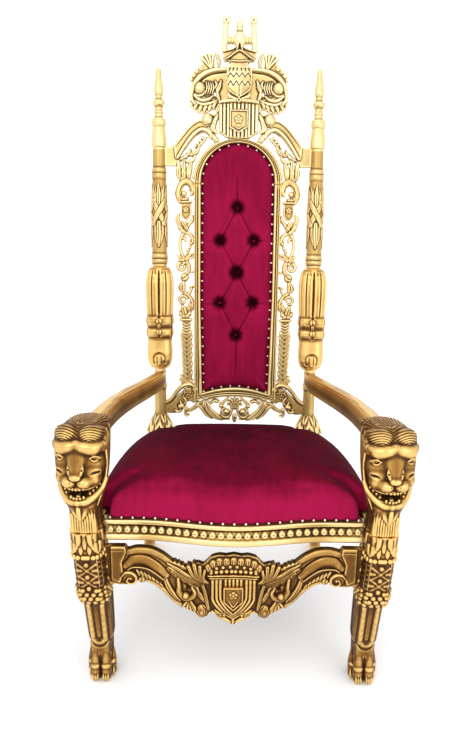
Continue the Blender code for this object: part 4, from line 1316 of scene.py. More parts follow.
def build_crest_crown():
    board = Relief((0, 1656), (58, 1745), 0.9)
    board.polygon([(-20, 1683), (27, 1683), (28, 1660), (-20, 1660)], 13.0, 2.0)
    board.stroke([(0, 1680), (30, 1682)], [3, 3], 17.0, 10.0)
    board.polygon([(-10, 1738), (0, 1738), (10, 1725), (24, 1716), (52, 1712), (53, 1696), (47, 1686),
                   (20, 1682),
                   (-10, 1682)], 10.0, 2.5)
    board.stroke([(0, 1736), (11, 1722), (26, 1714), (50, 1710)], [3, 3, 3, 3.4], 16.0, 8.0)
    board.stroke([(0, 1712), (14, 1705), (32, 1692), (46, 1686)], [3.4, 3.6, 3.6, 3.0], 19.0, 8.0)
    board.stroke([(0, 1738), (6, 1722), (10, 1708)], [3, 3.4, 2.0], 15.0, 8.0)
    board.groove([(0, 1730), (0, 1716)], 3.0, 4.0)
    board.height += 8.0 * (1 - (board.gx / 56) ** 2)
    points, faces = board.mesh(13.0, mirror=True)
    points[:, 1] += 4.0
    make_piece("crest_crown_carved", leaned(points), faces, PALE_LIT, ["crest_crown"], "bright_gilt")
    rings = [(9.6, 0.0), (10.2, 0.05), (9.4, 0.24), (10.4, 0.26), (10.4, 0.29), (9.0, 0.31), (9.0, 0.48),
             (10.2, 0.50),
             (10.2, 0.54), (8.8, 0.56), (8.8, 0.68), (9.8, 0.70), (9.8, 0.73), (8.2, 0.75), (8.4, 0.77),
             (10.8, 0.81),
             (11.9, 0.87), (11.6, 0.93), (9.2, 0.975), (5.0, 0.997), (0.5, 1.0)]
    points, faces = spindle((47.0, 6.0, 1712.0), (41.5, 6.0, 1815.5), rings, columns=40)
    eye = np.array([42.3, -5.5, 1801.0])
    near = np.linalg.norm(points - eye, axis=1)
    points[:, 1] += 3.2 * np.exp(-((near / 3.2) ** 2))
    make_pair("crest_horn_ringed", leaned(points), faces, PALE_LIT, ["crest_horn"], "bright_gilt")
    knob = [(9.0, 1716), (11, 1722), (17, 1731), (20.5, 1742), (20.0, 1753), (16, 1763), (10.5, 1769),
            (9.5, 1771),
            (12, 1774), (12.4, 1778), (10.4, 1781), (11.2, 1787), (10.6, 1795), (8.0, 1800), (4.0, 1804),
            (0.5, 1804.5)]
    spool = [(8, 0.0), (13, 0.06), (13.5, 0.16), (9.5, 0.24), (12.5, 0.34), (12.5, 0.42), (9.0, 0.50),
             (12.5, 0.58),
             (12.5, 0.66), (9.5, 0.76), (13.5, 0.84), (13, 0.94), (8, 1.0)]
    body = lathe(knob, centre=(0.0, 6.0), columns=56, step=1.0)
    side = spindle((12.0, 6.0, 1745.0), (42.0, 6.0, 1745.0), spool, columns=36)
    points, faces = merged(body, side, flipped(*side))
    make_piece("crest_ball_turned", leaned(points), faces, PALE_LIT, ["crest_ball"], "bright_gilt")


def build_shoulders():
    board = Relief((58, 1316), (234, 1520), 1.0)
    # Broad outer band from the cartouche down to the corner.
    board.polygon([(96, 1497), (118, 1512), (140, 1503), (166, 1480), (203, 1434), (199, 1394), (192, 1392),
                   (160, 1432), (138, 1460), (112, 1476)], 9.0, 2.5)
    board.stroke([(104, 1502), (122, 1507), (146, 1494), (172, 1466), (198, 1432)], [3, 3.5, 3.5, 3.5, 3],
                 11.5, 6.0)
    # Inner rolled band round the pierced opening.
    board.stroke([(84, 1462), (96, 1478), (118, 1482), (142, 1466), (166, 1436), (192, 1396)],
                 [8, 8, 7, 6.5, 6, 5], 14.5, 4.0, power=0.42)
    board.groove([(92, 1464), (104, 1472), (120, 1472), (138, 1456), (160, 1426)], 1.8, 4.5)
    board.stroke([(70, 1452), (82, 1464), (90, 1470)], [9, 9, 6], 11.0, 2.0)
    # Tie bar to the post.
    board.polygon([(196, 1432), (232, 1431), (232, 1372), (196, 1372), (190, 1392)], 7.0, 3.0)
    # Rim that follows the arch.
    rim = [(x, z) for x, z in arc(FRAME_ARCH_Z, FRAME_HALF + 3.0, 64, 8, 9)]
    board.stroke(rim, [5, 5, 4.5, 4, 4, 4.5, 5, 5, 4.5], 8.0, 0.0)
    # Pierced leaf with berries between the band and the arch.
    for x, z, r in ((111, 1457, 6.5), (119, 1448, 6.5), (127, 1440, 6.0), (134, 1432, 5.0)):
        board.dome(x, z, r, 10.5, 0.0, hollow=1.8)
    board.stroke([(100, 1459), (114, 1444), (130, 1428)], [3.5, 5, 4], 7.0, 0.0, lobes=3)
    board.stroke([(122, 1432), (132, 1416), (148, 1408), (164, 1412)], [4, 8, 7, 3], 9.0, 0.0, vein=1.6)
    board.stroke([(150, 1422), (156, 1410), (170, 1398), (184, 1392)], [4, 6, 7, 5], 9.0, 0.0, ribs=3,
                 rib=1.5)
    board.stroke([(134, 1410), (142, 1392), (158, 1386), (170, 1394)], [3, 6, 6, 3], 8.0, 0.0, vein=1.4)
    board.stroke([(148, 1386), (153, 1366), (156, 1340)], [5, 9, 7], 9.0, 0.0, vein=1.8)
    board.stroke([(172, 1396), (172, 1374), (170, 1350)], [5, 8, 6], 9.0, 0.0, vein=1.8)
    board.stroke([(188, 1392), (189, 1376), (186, 1358)], [4, 7, 5], 8.0, 0.0, vein=1.6)
    points, faces = board.mesh(15.0)
    make_pair("crest_shoulder_carved", leaned(points), faces, PALE_LIT, ["crest_shoulder"], "bright_gilt")


def build_frets():
    board = Relief((138, 664), (204, 1374), 0.9)
    board.fat = 1.42
    # Three hanging lobes and the scroll under them.
    for x, foot in ((187, 1332), (171, 1328), (156, 1332)):
        board.stroke([(x, 1372), (x + 1, 1352), (x - 1, foot)], [4, 7.5, 3.5], 8.5, 0.0, vein=2.0)
    board.stroke([(184, 1262), (190, 1285), (182, 1312), (166, 1325), (150, 1318), (142, 1300), (148, 1284)],
                 [5, 7, 8, 8.5, 8, 7, 3.5], 9.5, 0.0, power=0.42)
    board.groove([(184, 1290), (178, 1308), (164, 1316), (152, 1308)], 1.6, 3.5)
    board.dome(171, 1288, 9.5, 10.0, 0.0)
    board.stroke([(186, 1306), (190, 1284), (182, 1268)], [5, 7, 6], 8.0, 0.0, lobes=2)
    board.stroke([(160, 1272), (172, 1270), (184, 1272)], [4, 6, 4], 7.0, 0.0, ribs=3, rib=1.5)
    # Cap and the small shield.
    board.stroke([(148, 1262), (180, 1262)], [3, 3], 9.0, 2.0)
    board.polygon([(149, 1258), (180, 1258), (180, 1222), (165, 1205), (149, 1222)], 5.0, 2.0)
    board.stroke([(151, 1254), (151, 1223), (165, 1208), (178, 1223), (178, 1254)], [2] * 5, 7.5, 3.0,
                 power=0.4)
    rosette(board, 165.0, 1238.0, 10.0, 8.0)
    # Leaf ends and the narrow leaf under the shield.
    board.stroke([(188, 1224), (192, 1210), (188, 1196), (176, 1184)], [3, 5, 5, 4], 7.0, 0.0, vein=1.3)
    board.stroke([(142, 1220), (144, 1206), (152, 1196), (160, 1184)], [2, 4, 4, 4], 6.5, 0.0)
    board.stroke([(178, 1202), (168, 1190), (160, 1176)], [3, 7, 4], 8.0, 0.0, vein=1.5, lobes=2)
    board.stroke([(190, 1194), (180, 1178), (166, 1164)], [4, 6, 4], 8.0, 0.0, lobes=2)
    # Oval scroll with its berry string.
    board.stroke([(172, 1166), (182, 1146), (184, 1122), (178, 1100), (168, 1082)], [5, 4, 3.6, 4, 4], 8.0,
                 0.0)
    board.stroke([(164, 1166), (150, 1160), (142, 1144), (146, 1130)], [4, 4, 5, 3], 8.0, 0.0)
    board.dome(148, 1133, 6.5, 9.0, 0.0)
    board.stroke([(178, 1150), (170, 1148), (166, 1138)], [3, 5, 2], 7.0, 0.0)
    for x, z, r in ((152, 1119, 5.5), (158, 1111, 6.0), (160, 1100, 4.5)):
        board.dome(x, z, r, 8.5, 0.0, hollow=1.0)
    board.stroke([(150, 1126), (158, 1106), (164, 1086)], [2, 3, 3], 6.0, 0.0)
    # Leaf tuft and the rings below.
    for end, half in (((193, 1094), 5.5), ((188, 1078), 5.0), ((146, 1100), 5.0), ((140, 1089), 3.5)):
        board.stroke([(168, 1078), (0.5 * (168 + end[0]), 0.5 * (1082 + end[1])), end], [5, half, 2], 8.5,
                     0.0, vein=1.3)
    scroll(board, (178, 1058), 14.0, -1.05, 60, 4.5, 8.0, shrink=0.55)
    board.stroke([(164, 1078), (156, 1062), (156, 1044), (166, 1032)], [5, 5, 4.5, 5], 8.5, 0.0, vein=1.2)
    board.dome(170, 1070, 7.5, 9.0, 0.0)
    board.dome(169, 1024, 14.0, 9.0, 0.0, squash=1.05, hollow=1.2)
    board.groove([(160, 1034), (168, 1024), (180, 1020)], 1.4, 2.5)
    board.stroke([(170, 1012), (174, 1004), (177, 990), (172, 974)], [3.5, 6, 9.5, 4], 9.0, 0.0, vein=1.5)
    board.stroke([(170, 976), (160, 968), (150, 978), (146, 992)], [4, 4, 3.6, 3], 7.5, 0.0)
    board.dome(145, 993, 5.0, 8.0, 0.0)
    # Scroll and leaf cluster above the rope post.
    scroll(board, (174, 950), 15.0, -0.9, 150, 4.6, 8.5, shrink=0.5)
    board.stroke([(160, 970), (148, 956), (142, 938), (146, 922)], [4, 4, 4.5, 5], 7.5, 0.0)
    board.stroke([(146, 940), (152, 928), (160, 918)], [6, 6, 5], 8.0, 0.0, vein=1.2)
    board.stroke([(178, 936), (172, 920), (168, 902)], [3, 8, 8], 9.0, 0.0, vein=1.6)
    board.stroke([(186, 912), (178, 902), (168, 894)], [3, 6, 6], 8.0, 0.0, lobes=2)
    board.stroke([(148, 912), (156, 902), (164, 894)], [3, 6, 6], 8.0, 0.0, lobes=2)
    board.stroke([(148, 886), (180, 886)], [3.6, 3.6], 8.0, 2.0)
    board.polygon([(149, 884), (178, 884), (174, 846), (152, 846)], 5.0, 2.0)
    for k in range(4):
        z = 876 - 9.5 * k
        board.stroke([(151, z), (162, z - 7), (174, z)], [2.2, 3.2, 2.2], 8.5, 3.0)
    # Wheat-ear leaf down to the bracket.
    board.stroke([(163, 850), (161, 770), (158, 700)], [7, 8, 7], 5.0, 0.0)
    for k in range(10):
        z = 838 - 15.0 * k
        cx = 163.0 - 0.03 * (838 - z)
        for side in (-1, 1):
            reach = 17.0 - 0.35 * k + (1.5 if k % 2 else -1.0)
            tip = (cx + side * reach, z + 10)
            board.stroke([(cx, z - 12), (cx + side * reach * 0.55, z - 2), tip], [3.5, 5.6, 2.4], 9.0, 1.0,
                         vein=1.5)
    for tip in ((183, 700), (186, 684), (146, 700), (140, 684)):
        board.stroke([(160, 672), (0.5 * (160 + tip[0]), 0.5 * (676 + tip[1])), tip], [6, 6, 2.5], 8.5, 0.0,
                     vein=1.5)
    board.stroke([(166, 700), (168, 682), (168, 666)], [5, 8, 9], 8.0, 0.0)
    # Light ties to the frame beside it.
    for z, x0 in ((1300, 152), (1142, 150), (991, 150), (930, 148), (1040, 160), (1096, 150)):
        board.stroke([(x0, z), (139, z + 2)], [3.0, 2.6], 5.0, 0.0)
    points, faces = board.mesh(8.0)
    make_pair("fret_carved", leaned(points), faces, BRIGHT, ["fret"], "bright_gilt")


def build_lower_back():
    board = Relief((118, 548), (234, 700), 1.0)
    board.polygon([(134, 668), (160, 660), (190, 634), (214, 612), (233, 610), (233, 570), (206, 568),
                   (186, 574),
                   (172, 584), (160, 600), (140, 604), (124, 612), (128, 646)], 4.0, 2.5)
    board.stroke([(130, 654), (148, 669), (174, 664), (196, 642), (214, 618), (232, 606)],
                 [5, 7, 7.5, 7, 6, 4], 13.0, 3.0, power=0.42)
    board.groove([(146, 659), (170, 655), (190, 636), (206, 616)], 1.6, 3.5)
    board.dome(131, 655, 13.0, 15.0, 2.0)
    board.stroke([(183, 612), (176, 592), (186, 576), (200, 580)], [3, 5, 6, 4], 9.5, 2.0)
    board.dome(180, 594, 11.5, 13.0, 2.0)
    board.groove([(191, 604), (194, 592), (188, 582)], 1.6, 4.0)
    board.stroke([(172, 626), (164, 612), (172, 600)], [3, 5, 3], 8.0, 2.0)
    for x, z in ((150, 640), (158, 634), (146, 630), (164, 642), (154, 624), (172, 634), (142, 640),
                 (162, 622)):
        board.dome(x, z, 2.6, 6.6, 3.0)
    board.stroke([(172, 656), (168, 640), (176, 628)], [1.5, 3, 2], 7.5, 3.0)
    board.stroke([(122, 604), (134, 590), (150, 580), (160, 576)], [8, 8, 6, 4], 10.0, 1.0, vein=1.8)
    board.stroke([(160, 588), (168, 576), (164, 562), (154, 564)], [4, 4.5, 4.5, 4], 9.0, 0.0)
    board.hole(152, 604, 11.0, 0.62)
    points, faces = board.mesh(15.0)
    make_pair("lower_bracket_carved", leaned(points), faces, BRIGHT, ["lower_bracket"], "bright_gilt")
    board = Relief((0, 538), (132, 634), 1.0)
    board.stroke([(0, 632), (50, 628), (88, 618), (124, 604)], [3, 3, 3, 3], 5.0, 0.0)
    # Fan in the middle.
    for k in range(-3, 4):
        angle = math.radians(90 - 27 * k)
        tip = (23 * math.cos(angle), 598 + 25 * math.sin(angle))
        board.stroke([(2.5 * k * 0.6, 586), (0.6 * tip[0], 592 + 0.6 * (tip[1] - 592)), tip], [2, 4, 4.5],
                     12.0, 2.0)
    board.stroke([(0, 566), (4, 556), (0, 546)], [5, 5, 7], 9.0, 0.0)
    # Volutes, ribbons up to the rail, and the acanthus sweep.
    board.stroke([(12, 596), (10, 580), (18, 562), (34, 558), (45, 568), (44, 582), (34, 590)],
                 [4, 5, 5.5, 5.5, 5, 4, 3], 11.0, 1.0, power=0.42)
    board.dome(28, 577, 11.5, 14.0, 2.0)
    board.stroke([(46, 596), (38, 608), (24, 620), (18, 628)], [7, 6, 4, 3], 9.0, 0.0, vein=1.5)
    board.dome(46, 597, 8.5, 11.0, 0.0)
    board.stroke([(56, 612), (68, 614), (80, 606)], [6, 6, 5], 9.0, 0.0)
    board.dome(60, 612, 7.5, 10.0, 0.0)
    board.stroke([(84, 606), (88, 594), (80, 580), (62, 564), (44, 554), (16, 550)], [5, 6, 6.5, 7, 6, 3],
                 9.5, 0.0, vein=1.5)
    board.stroke([(104, 612), (98, 592), (84, 572), (64, 556), (40, 548)], [6, 8, 8, 7, 3], 10.5, 0.0,
                 vein=1.8)
    board.stroke([(126, 600), (112, 588), (96, 566), (76, 552)], [7, 7, 6, 3], 8.5, 0.0, vein=1.5)
    board.stroke([(84, 620), (96, 612), (112, 606)], [3, 5, 6], 7.0, 0.0)
    board.hole(62, 588, 7.0, 1.6)
    points, faces = board.mesh(13.0, mirror=True)
    make_piece("lower_shell_carved", leaned(points), faces, BRIGHT, ["lower_shell"], "bright_gilt")


# ---- apron ---------------------------------------------------------------------------------------


APRON_Y = -337.0
APRON_EDGE = [
    (-20, 375), (0, 375), (20, 371), (38, 373), (50, 370), (60, 366), (72, 352), (80, 345), (95, 350),
    (118, 341),
    (126, 336), (148, 345), (170, 357), (198, 378), (233, 388), (277, 385), (284, 396), (326, 396),
    (341, 392),
    (336, 287), (318, 284), (300, 281), (285, 282), (268, 287), (252, 296), (245, 293), (236, 294),
    (228, 300),
    (212, 292), (198, 282), (181, 268), (168, 253), (150, 232), (135, 218), (118, 207), (102, 197), (92, 190),
    (81, 185), (70, 188), (62, 199), (55, 205), (46, 196), (30, 186), (14, 175), (0, 166), (-20, 166),
]


def carve_apron_arch(board):
    """Corner block, arched band with its cove, the volute under it and the plain lower band."""
    board.polygon([(284, 396), (322, 396), (322, 300), (300, 290), (291, 318), (294, 350), (281, 380)], 9.0,
                  2.5)
    board.groove([(322, 386), (300, 387), (286, 386)], 1.6, 1.6)
    board.stroke([(281, 377), (252, 384), (218, 381), (190, 368), (166, 350)], [8, 9, 9, 8.5, 7], 9.0, 2.0,
                 power=0.5)
    board.stroke([(284, 338), (262, 356), (231, 356), (203, 338), (178, 312)], [10, 13.5, 14, 13.5, 9], 9.5,
                 3.0, power=0.8)
    board.groove([(288, 350), (268, 371), (232, 372), (198, 352), (168, 322)], 1.5, 3.5)
    board.stroke([(286, 322), (265, 336), (229, 333), (200, 314), (178, 294)], [2.4] * 5, 9.0, 2.0)
    board.groove([(286, 327), (264, 341), (229, 338), (201, 320), (180, 301)], 1.2, 2.5)
    board.dome(274, 303, 20.0, 9.0, 2.0)
    board.stroke([(294, 312), (284, 322), (268, 321), (257, 310), (259, 296), (271, 290), (281, 297),
                  (277, 306)],
                 [3.5, 4.5, 5, 4.5, 4.2, 3.8, 3.4, 3], 14.0, 4.0, power=0.45)
    board.dome(272, 304, 5.0, 12.0, 4.0)
    board.dome(242, 300, 10.5, 11.0, 1.0)
    board.groove([(249, 309), (241, 303), (245, 295)], 1.6, 3.0)
    for k in range(7):
        x, z = 250 - 10.0 * k, 320 - 3.6 * k - 0.45 * k * k
        board.stroke([(x + 5, z + 7), (x, z), (x - 2, z - 9)], [3.5, 5.0, 2.2], 9.0, 1.0, vein=1.2)
    board.stroke([(232, 299), (207, 290), (182, 269), (159, 243), (136, 222)], [5, 6.5, 7, 7, 6], 9.5, 1.0,
                 power=0.45)


def carve_apron_leaves(board):
    """Acanthus sweep, finger leaves, ring scroll and the fluted shell."""
    sweep_leaves = (((174, 351), 24.0, 6.5), ((171, 338), 15.0, 6.5), ((163, 325), 8.0, 6.0),
                    ((154, 313), 2.0, 5.5))
    board.polygon([(176, 353), (176, 330), (150, 300), (112, 278), (76, 282), (70, 300), (110, 306),
                   (128, 336)], 5.0, 2.0)
    for k, (tip, arch, half) in enumerate(sweep_leaves):
        base = (74 + 4 * k, 293 - 3 * k)
        bend = (0.52 * base[0] + 0.48 * tip[0], 0.62 * base[1] + 0.38 * tip[1] - 4 + 0.2 * arch)
        board.stroke([base, bend, (0.25 * base[0] + 0.75 * tip[0], 0.28 * base[1] + 0.72 * tip[1] + 1), tip],
                     [3.5, half, half + 0.8, 2.8], 12.5 - k, 3.0, power=0.6, vein=1.3)
    board.stroke([(128, 334), (142, 342), (156, 348), (170, 354)], [5, 6, 6, 4], 9.0, 2.0, lobes=4, vein=1.2)
    for tip, half in (((119, 340), 7.5), ((104, 345), 8.0), ((89, 340), 7.5), ((76, 330), 6.0)):
        bend = (0.45 * 68 + 0.55 * tip[0] + 7, 0.5 * 292 + 0.5 * tip[1] - 3)
        board.stroke([(68, 294), bend, tip], [4.0, half, half * 0.8], 14.0, 2.0, power=0.55, vein=1.6)
    # Long frond beside the lower band, then the hooked ring with its ball.
    board.stroke([(180, 304), (172, 280), (160, 258), (144, 238)], [6, 9, 9, 5], 10.0, 1.0, vein=1.6)
    board.groove([(170, 300), (163, 280), (152, 262)], 1.2, 2.0)
    board.stroke([(146, 306), (144, 284), (143, 264), (128, 246), (109, 250), (102, 264), (109, 279)],
                 [5, 7, 9, 9.5, 8.5, 7, 4.5], 13.5, 2.0, power=0.5)
    board.dome(127, 254, 11.0, 16.0, 4.0)
    board.groove([(126, 290), (121, 278), (122, 268)], 5.0, 7.0)
    board.stroke([(112, 286), (98, 278), (92, 266)], [4, 6, 4], 10.0, 2.0, vein=1.2)
    board.stroke([(98, 274), (88, 256), (78, 238)], [5, 7, 5], 10.0, 2.0, vein=1.4)
    board.stroke([(84, 292), (76, 268), (70, 236), (66, 214)], [5, 6, 6.5, 5], 10.5, 2.0, vein=1.2)
    for k in range(5):
        tip = (134 - 11.5 * k, 222 - 6.4 * k)
        board.stroke([(116, 246), (0.5 * (118 + tip[0]), 0.5 * (242 + tip[1])), tip], [2.5, 5.0, 5.0], 11.0,
                     1.0)
    board.dome(84, 206, 15.5, 12.5, 2.0, squash=1.35)
    board.groove([(96, 224), (97, 204), (88, 190), (76, 194), (73, 210), (82, 224)], 1.5, 2.6)
    board.dome(84, 205, 8.0, 14.0, 6.0, squash=1.4)


def carve_apron_middle(board):
    """Fluted cartouche, its moulding, the drop below and the low coronet above."""
    board.polygon([(-60, 320), (63, 320), (60, 250), (50, 222), (24, 196), (-60, 190)], 6.0, 2.0)
    for x in (55.0, 44.5, 34.5):
        inner = (55.0 - x) / 20.0
        board.stroke([(x, 306), (x, 262), (x - 2, 240 + 3 * inner), (0.62 * x, 213 + 9 * inner),
                      (1, 186 + 12 * inner)],
                     [4.7, 4.7, 4.5, 4.3, 3], 12.0, 5.0, power=0.4)
    for x in (0.0, 10.0, 20.5):
        board.stroke([(x, 305), (x, 286)], [4.4, 4.4], 11.5, 4.0, power=0.4)
    board.stroke([(0, 317), (34, 317), (66, 315)], [3.2, 3.2, 3.2], 14.5, 4.0)
    board.stroke([(0, 309.5), (34, 309.5), (63, 308)], [2.6, 2.6, 2.6], 13.0, 4.0)
    board.stroke([(56, 206), (40, 201), (30, 193)], [4, 5, 4], 10.5, 2.0)
    board.stroke([(48, 212), (34, 204), (22, 205), (20, 196)], [3, 4.5, 5, 4], 13.0, 3.0)
    board.dome(24, 199, 6.0, 15.0, 3.0)
    board.stroke([(42, 193), (22, 184), (3, 172)], [5, 6.5, 5], 9.5, 1.0)
    board.stroke([(0, 192), (0, 178), (0, 168)], [6, 6, 2.5], 12.0, 1.0)
    # Coronet: a lumpy row of leaves over a string of berries.
    board.polygon([(-20, 366), (30, 366), (52, 360), (66, 346), (70, 322), (-20, 322)], 6.0, 3.0)
    for k, (x, z) in enumerate(((0, 356), (19, 355), (37, 354), (53, 348), (65, 336))):
        board.dome(x, z, 11.5, 11.0 + k % 2, 3.0, squash=1.15)
        for side in (-3.5, 3.5):
            board.groove([(0.97 * x + side, z + 5), (0.93 * x + 0.6 * side, z - 12)], 1.0, 2.2)
    for x, z in ((9, 342), (28, 340), (45, 337), (59, 329)):
        board.dome(x, z, 6.0, 12.0, 3.0)
    for k in range(5):
        board.dome(5 + 13.5 * k, 328 - 0.3 * k * k, 6.4, 12.0, 4.0)


def build_apron():
    board = Relief((0, 160), (343, 400), 1.1)
    board.polygon(APRON_EDGE, 2.0, 2.0, base=0.0)
    board.height = np.where(board.gx > 322.0, -3.0, board.height)
    carve_apron_arch(board)
    carve_apron_leaves(board)
    carve_apron_middle(board)
    points, faces = board.mesh(15.0, mirror=True)
    points[:, 1] += APRON_Y
    make_piece("apron_carved", points, faces, AGED_SHADED, ["apron"], "aged_gilt", wear=0.9, shade=evenly(DEEPER))
    points, faces = small_shield(26.0, 283.0, 240.0, 214.0, 13.0)
    points[:, 1] += APRON_Y - 11.0
    make_piece("apron_badge_carved", points, faces, AGED_SHADED, ["apron_badge"], "aged_gilt")


# ---- arms and rear legs --------------------------------------------------------------------------


ARM_ROUTE = [
    # x, y, half width, half height
    (243, 236, 15, 24), (251, 208, 20, 28), (284, 115, 22.5, 29.5), (316, 30, 24.5, 30), (344, -60, 25.5, 31),
    (360, -140, 27, 32), (369, -217, 28, 33), (371, -245, 26, 31),
]
ARM_TOP = 722.0


def arm_shade(points, normals):
    """Brown all over, and painted shade underneath."""
    return -0.17 - 0.10 * smoothstep(-normals[:, 2], -0.5, 0.5)


def build_arms():
    rows = spline(ARM_ROUTE, 110)
    along = np.gradient(rows[:, :2], axis=0)
    along /= np.linalg.norm(along, axis=1)[:, None]
    across = np.stack([-along[:, 1], along[:, 0]], 1)
    angle = 2 * math.pi * (np.arange(64) + 0.5) / 64
    c, s = np.cos(angle), np.sin(angle)
    u = np.sign(c) * np.abs(c) ** 0.62
    v = np.sign(s) * np.abs(s) ** 0.66
    t = np.linspace(0.0, 1.0, len(rows))[:, None]
    # Long shallow tool marks along the top plane and a hollow along each side.
    carve = np.zeros((len(rows), 64))
    for mark in (-0.62, -0.30, 0.02, 0.34, 0.66):
        line = mark + 0.10 * np.sin(2 * math.pi * (1.3 * t + mark))
        carve -= 1.1 * np.exp(-(((u[None, :] - line) / 0.07) ** 2)) * (s > 0.3)
    carve -= 0.7 * np.exp(-(((v[None, :] - 0.05) / 0.5) ** 2)) * (np.abs(c) > 0.75)
    crown = 1.6 * (1 - u**2) * (s > 0)
    half_w, half_h = rows[:, 2:3], rows[:, 3:4]
    wide = u[None, :] * (half_w + np.where(np.abs(c) > 0.75, carve, 0.0))
    high = v[None, :] * half_h + np.where(s > 0.3, carve, 0.0) + crown
    x = rows[:, :1] - across[:, :1] * wide * -1
    y = rows[:, 1:2] + across[:, 1:] * wide
    z = ARM_TOP - half_h - 3.0 + high
    points = np.stack([x, y, z], -1).reshape(-1, 3)
    points, faces = capped(points, len(rows), 64)
    make_pair("arm_rail", points, faces, AGED_SHADED, ["arm"], "aged_gilt", wear=0.7, shade=arm_shade)


def build_rear_legs():
    z = np.linspace(0.0, 499.6, 130)
    ease = np.clip(1 - z / RAIL_LOW, 0, 1) ** 1.5
    x = POST_X + (316.0 - POST_X) * ease
    y = LEAN_Y + (372.1 - LEAN_Y) * ease
    half_x = np.interp(z, [0, 48, 100, 143, 398, 500], [20, 21, 23, 24, 25, 25])
    half_y = np.interp(z, [0, 48, 100, 143, 398, 500], [24, 24, 25, 25.5, 25.5, 25.5])
    angle = 2 * math.pi * (np.arange(64) + 0.5) / 64
    c, s = np.cos(angle)[None, :], np.sin(angle)[None, :]
    u = np.sign(c) * np.abs(c) ** 0.30
    v = np.sign(s) * np.abs(s) ** 0.30
    # A sunk panel with a rounded head on each face of the lower leg.
    sunk = smoothstep(z, 45.0, 70.0) * smoothstep(z, 385.0, 350.0)
    panel = 1.0 * sunk[:, None] * np.exp(-((np.minimum(np.abs(u), np.abs(v)) / 0.45) ** 4))
    u = u * (half_x[:, None] - np.where(np.abs(c) > np.abs(s), panel, 0.0))
    v = v * (half_y[:, None] - np.where(np.abs(c) > np.abs(s), 0.0, panel))
    points = np.stack([x[:, None] + u, y[:, None] + v, np.broadcast_to(z[:, None], u.shape)],
                      -1).reshape(-1, 3)
    points, faces = capped(points, len(z), 64)
    make_pair("rear_leg_panelled", points, faces, AGED_SHADED, ["rear_leg"], "aged_gilt", wear=0.6)


# ---- lion heads ----------------------------------------------------------------------------------


HEAD_X = 384.0


def both(rows):
    """A row list and its mirror image."""
    return rows, [(-row[0], *row[1:]) for row in rows]


def tuft_locks(x, y, z):
    """Arcs nested round the middle of each tuft over the brow."""
    return np.hypot(np.abs(x) - 36.0, z - 682.0 + 0.30 * (y + 384.0)) / 6.2


def crown_locks(x, y, z):
    """Locks combed back over the crown."""
    return (x + 3.5 * np.sin(y * 0.06 + np.sign(x))) / 6.8


def crown_depth(x, y, z):
    return 2.2 * smoothstep(y, -318.0, -304.0) + 0 * x * z


def side_locks(x, y, z):
    """Locks hanging down the sides of the head."""
    return (y + 5.0 * np.sin(z * 0.045 + y * 0.03) + 0.16 * (z - 600.0)) / 9.0


def fringe_locks(x, y, z):
    return (x + 0.5 * np.sin(z * 0.09)) / 6.4


def fringe_depth(x, y, z):
    return 1.3 * smoothstep(z, 526.0, 500.0) + 0 * x * y


def carve_mane(s):
    """Skull and neck, the two tufts over the brow, and the hair combed back and down."""
    s.column([(-4, -335, 455, 36, 52), (-3, -334, 498, 37, 52), (-2, -328, 530, 43, 57),
              (0, -318, 570, 54, 65),
              (1, -312, 620, 59, 69), (1, -307, 670, 60, 70), (0, -302, 706, 58, 66), (0, -298, 724, 48, 56),
              (0, -294, 732, 34, 42)], power=2.9, soft=0.0)
    s.stroke([(-1, -300, 706, 24), (-5, -262, 708, 24), (-10, -226, 698, 24)], 10.0, flat=(0.8, 1.0, 1.0))
    for side in (-1, 1):
        s.ball((side * 28, -344, 709), (30, 35, 22), 3.0)
        s.ball((side * 42, -338, 709), (22, 32, 20), 4.0)
    s.stroke([(0, -386, 702, 3.0), (0, -376, 724, 3.2), (0, -350, 736, 3.0)], 3.0, cut=True)
    s.comb((-66, -400, 699), (66, -318, 746), tuft_locks, 1.35)
    s.comb((-60, -318, 690), (60, -214, 752), crown_locks, crown_depth)
    s.comb((40, -326, 470), (90, -214, 716), side_locks, 3.2)
    s.comb((-90, -326, 470), (-40, -214, 716), side_locks, 3.2)


def carve_fringe(s):
    """Short upright hair where the head meets the leaf collar."""
    s.stroke([(-26, -374, 500, 8), (-30, -374, 470, 9), (-30, -374, 458, 9)], 6.0)
    s.stroke([(24, -374, 500, 8), (24, -374, 470, 9), (24, -374, 458, 9)], 6.0)
    s.comb((-44, -400, 455), (40, -350, 522), fringe_locks, fringe_depth)


def carve_brow(s):
    """The wavy brow band and the eyes under its ends."""
    s.ball((0, -340, 640), (57, 42, 60), 6.0)
    s.ball((0, -362, 687), (54, 20, 13), 8.0)
    for rows in both([(0, -376, 688, 11), (20, -378, 683, 14.5), (40, -371, 679, 16.0),
                      (57, -350, 684, 12.0)]):
        s.stroke(rows, 6.0, flat=(1.0, 1.35, 1.0))
    for side in (-1, 1):
        s.ball((side * 58, -350, 677), (9.5, 10, 11), 6.0)
        # Smooth cheek from under the eye down to the muzzle.
        s.ball((side * 38, -346, 634), (25, 27, 27), 10.0)
        s.ball((side * 32, -362, 617), (24, 19, 15), 9.0)
        s.ball((side * 47, -373, 656), (12, 8, 6.0), 2.5, cut=True)
        s.ball((side * 47, -361, 654), (9.0, 9.5, 6.5), 0.8)
        s.stroke([(side * 34, -375, 655, 1.8), (side * 46, -374, 661, 2.4), (side * 58, -361, 653, 1.8)], 1.5)
        s.stroke([(side * 34, -374, 653, 1.3), (side * 46, -371.5, 647, 1.6), (side * 58, -360, 653, 1.3)],
                 1.5)
        s.ball((side * 47, -371, 654.5), (3.6, 2.2, 2.8), 0.4, cut=True)


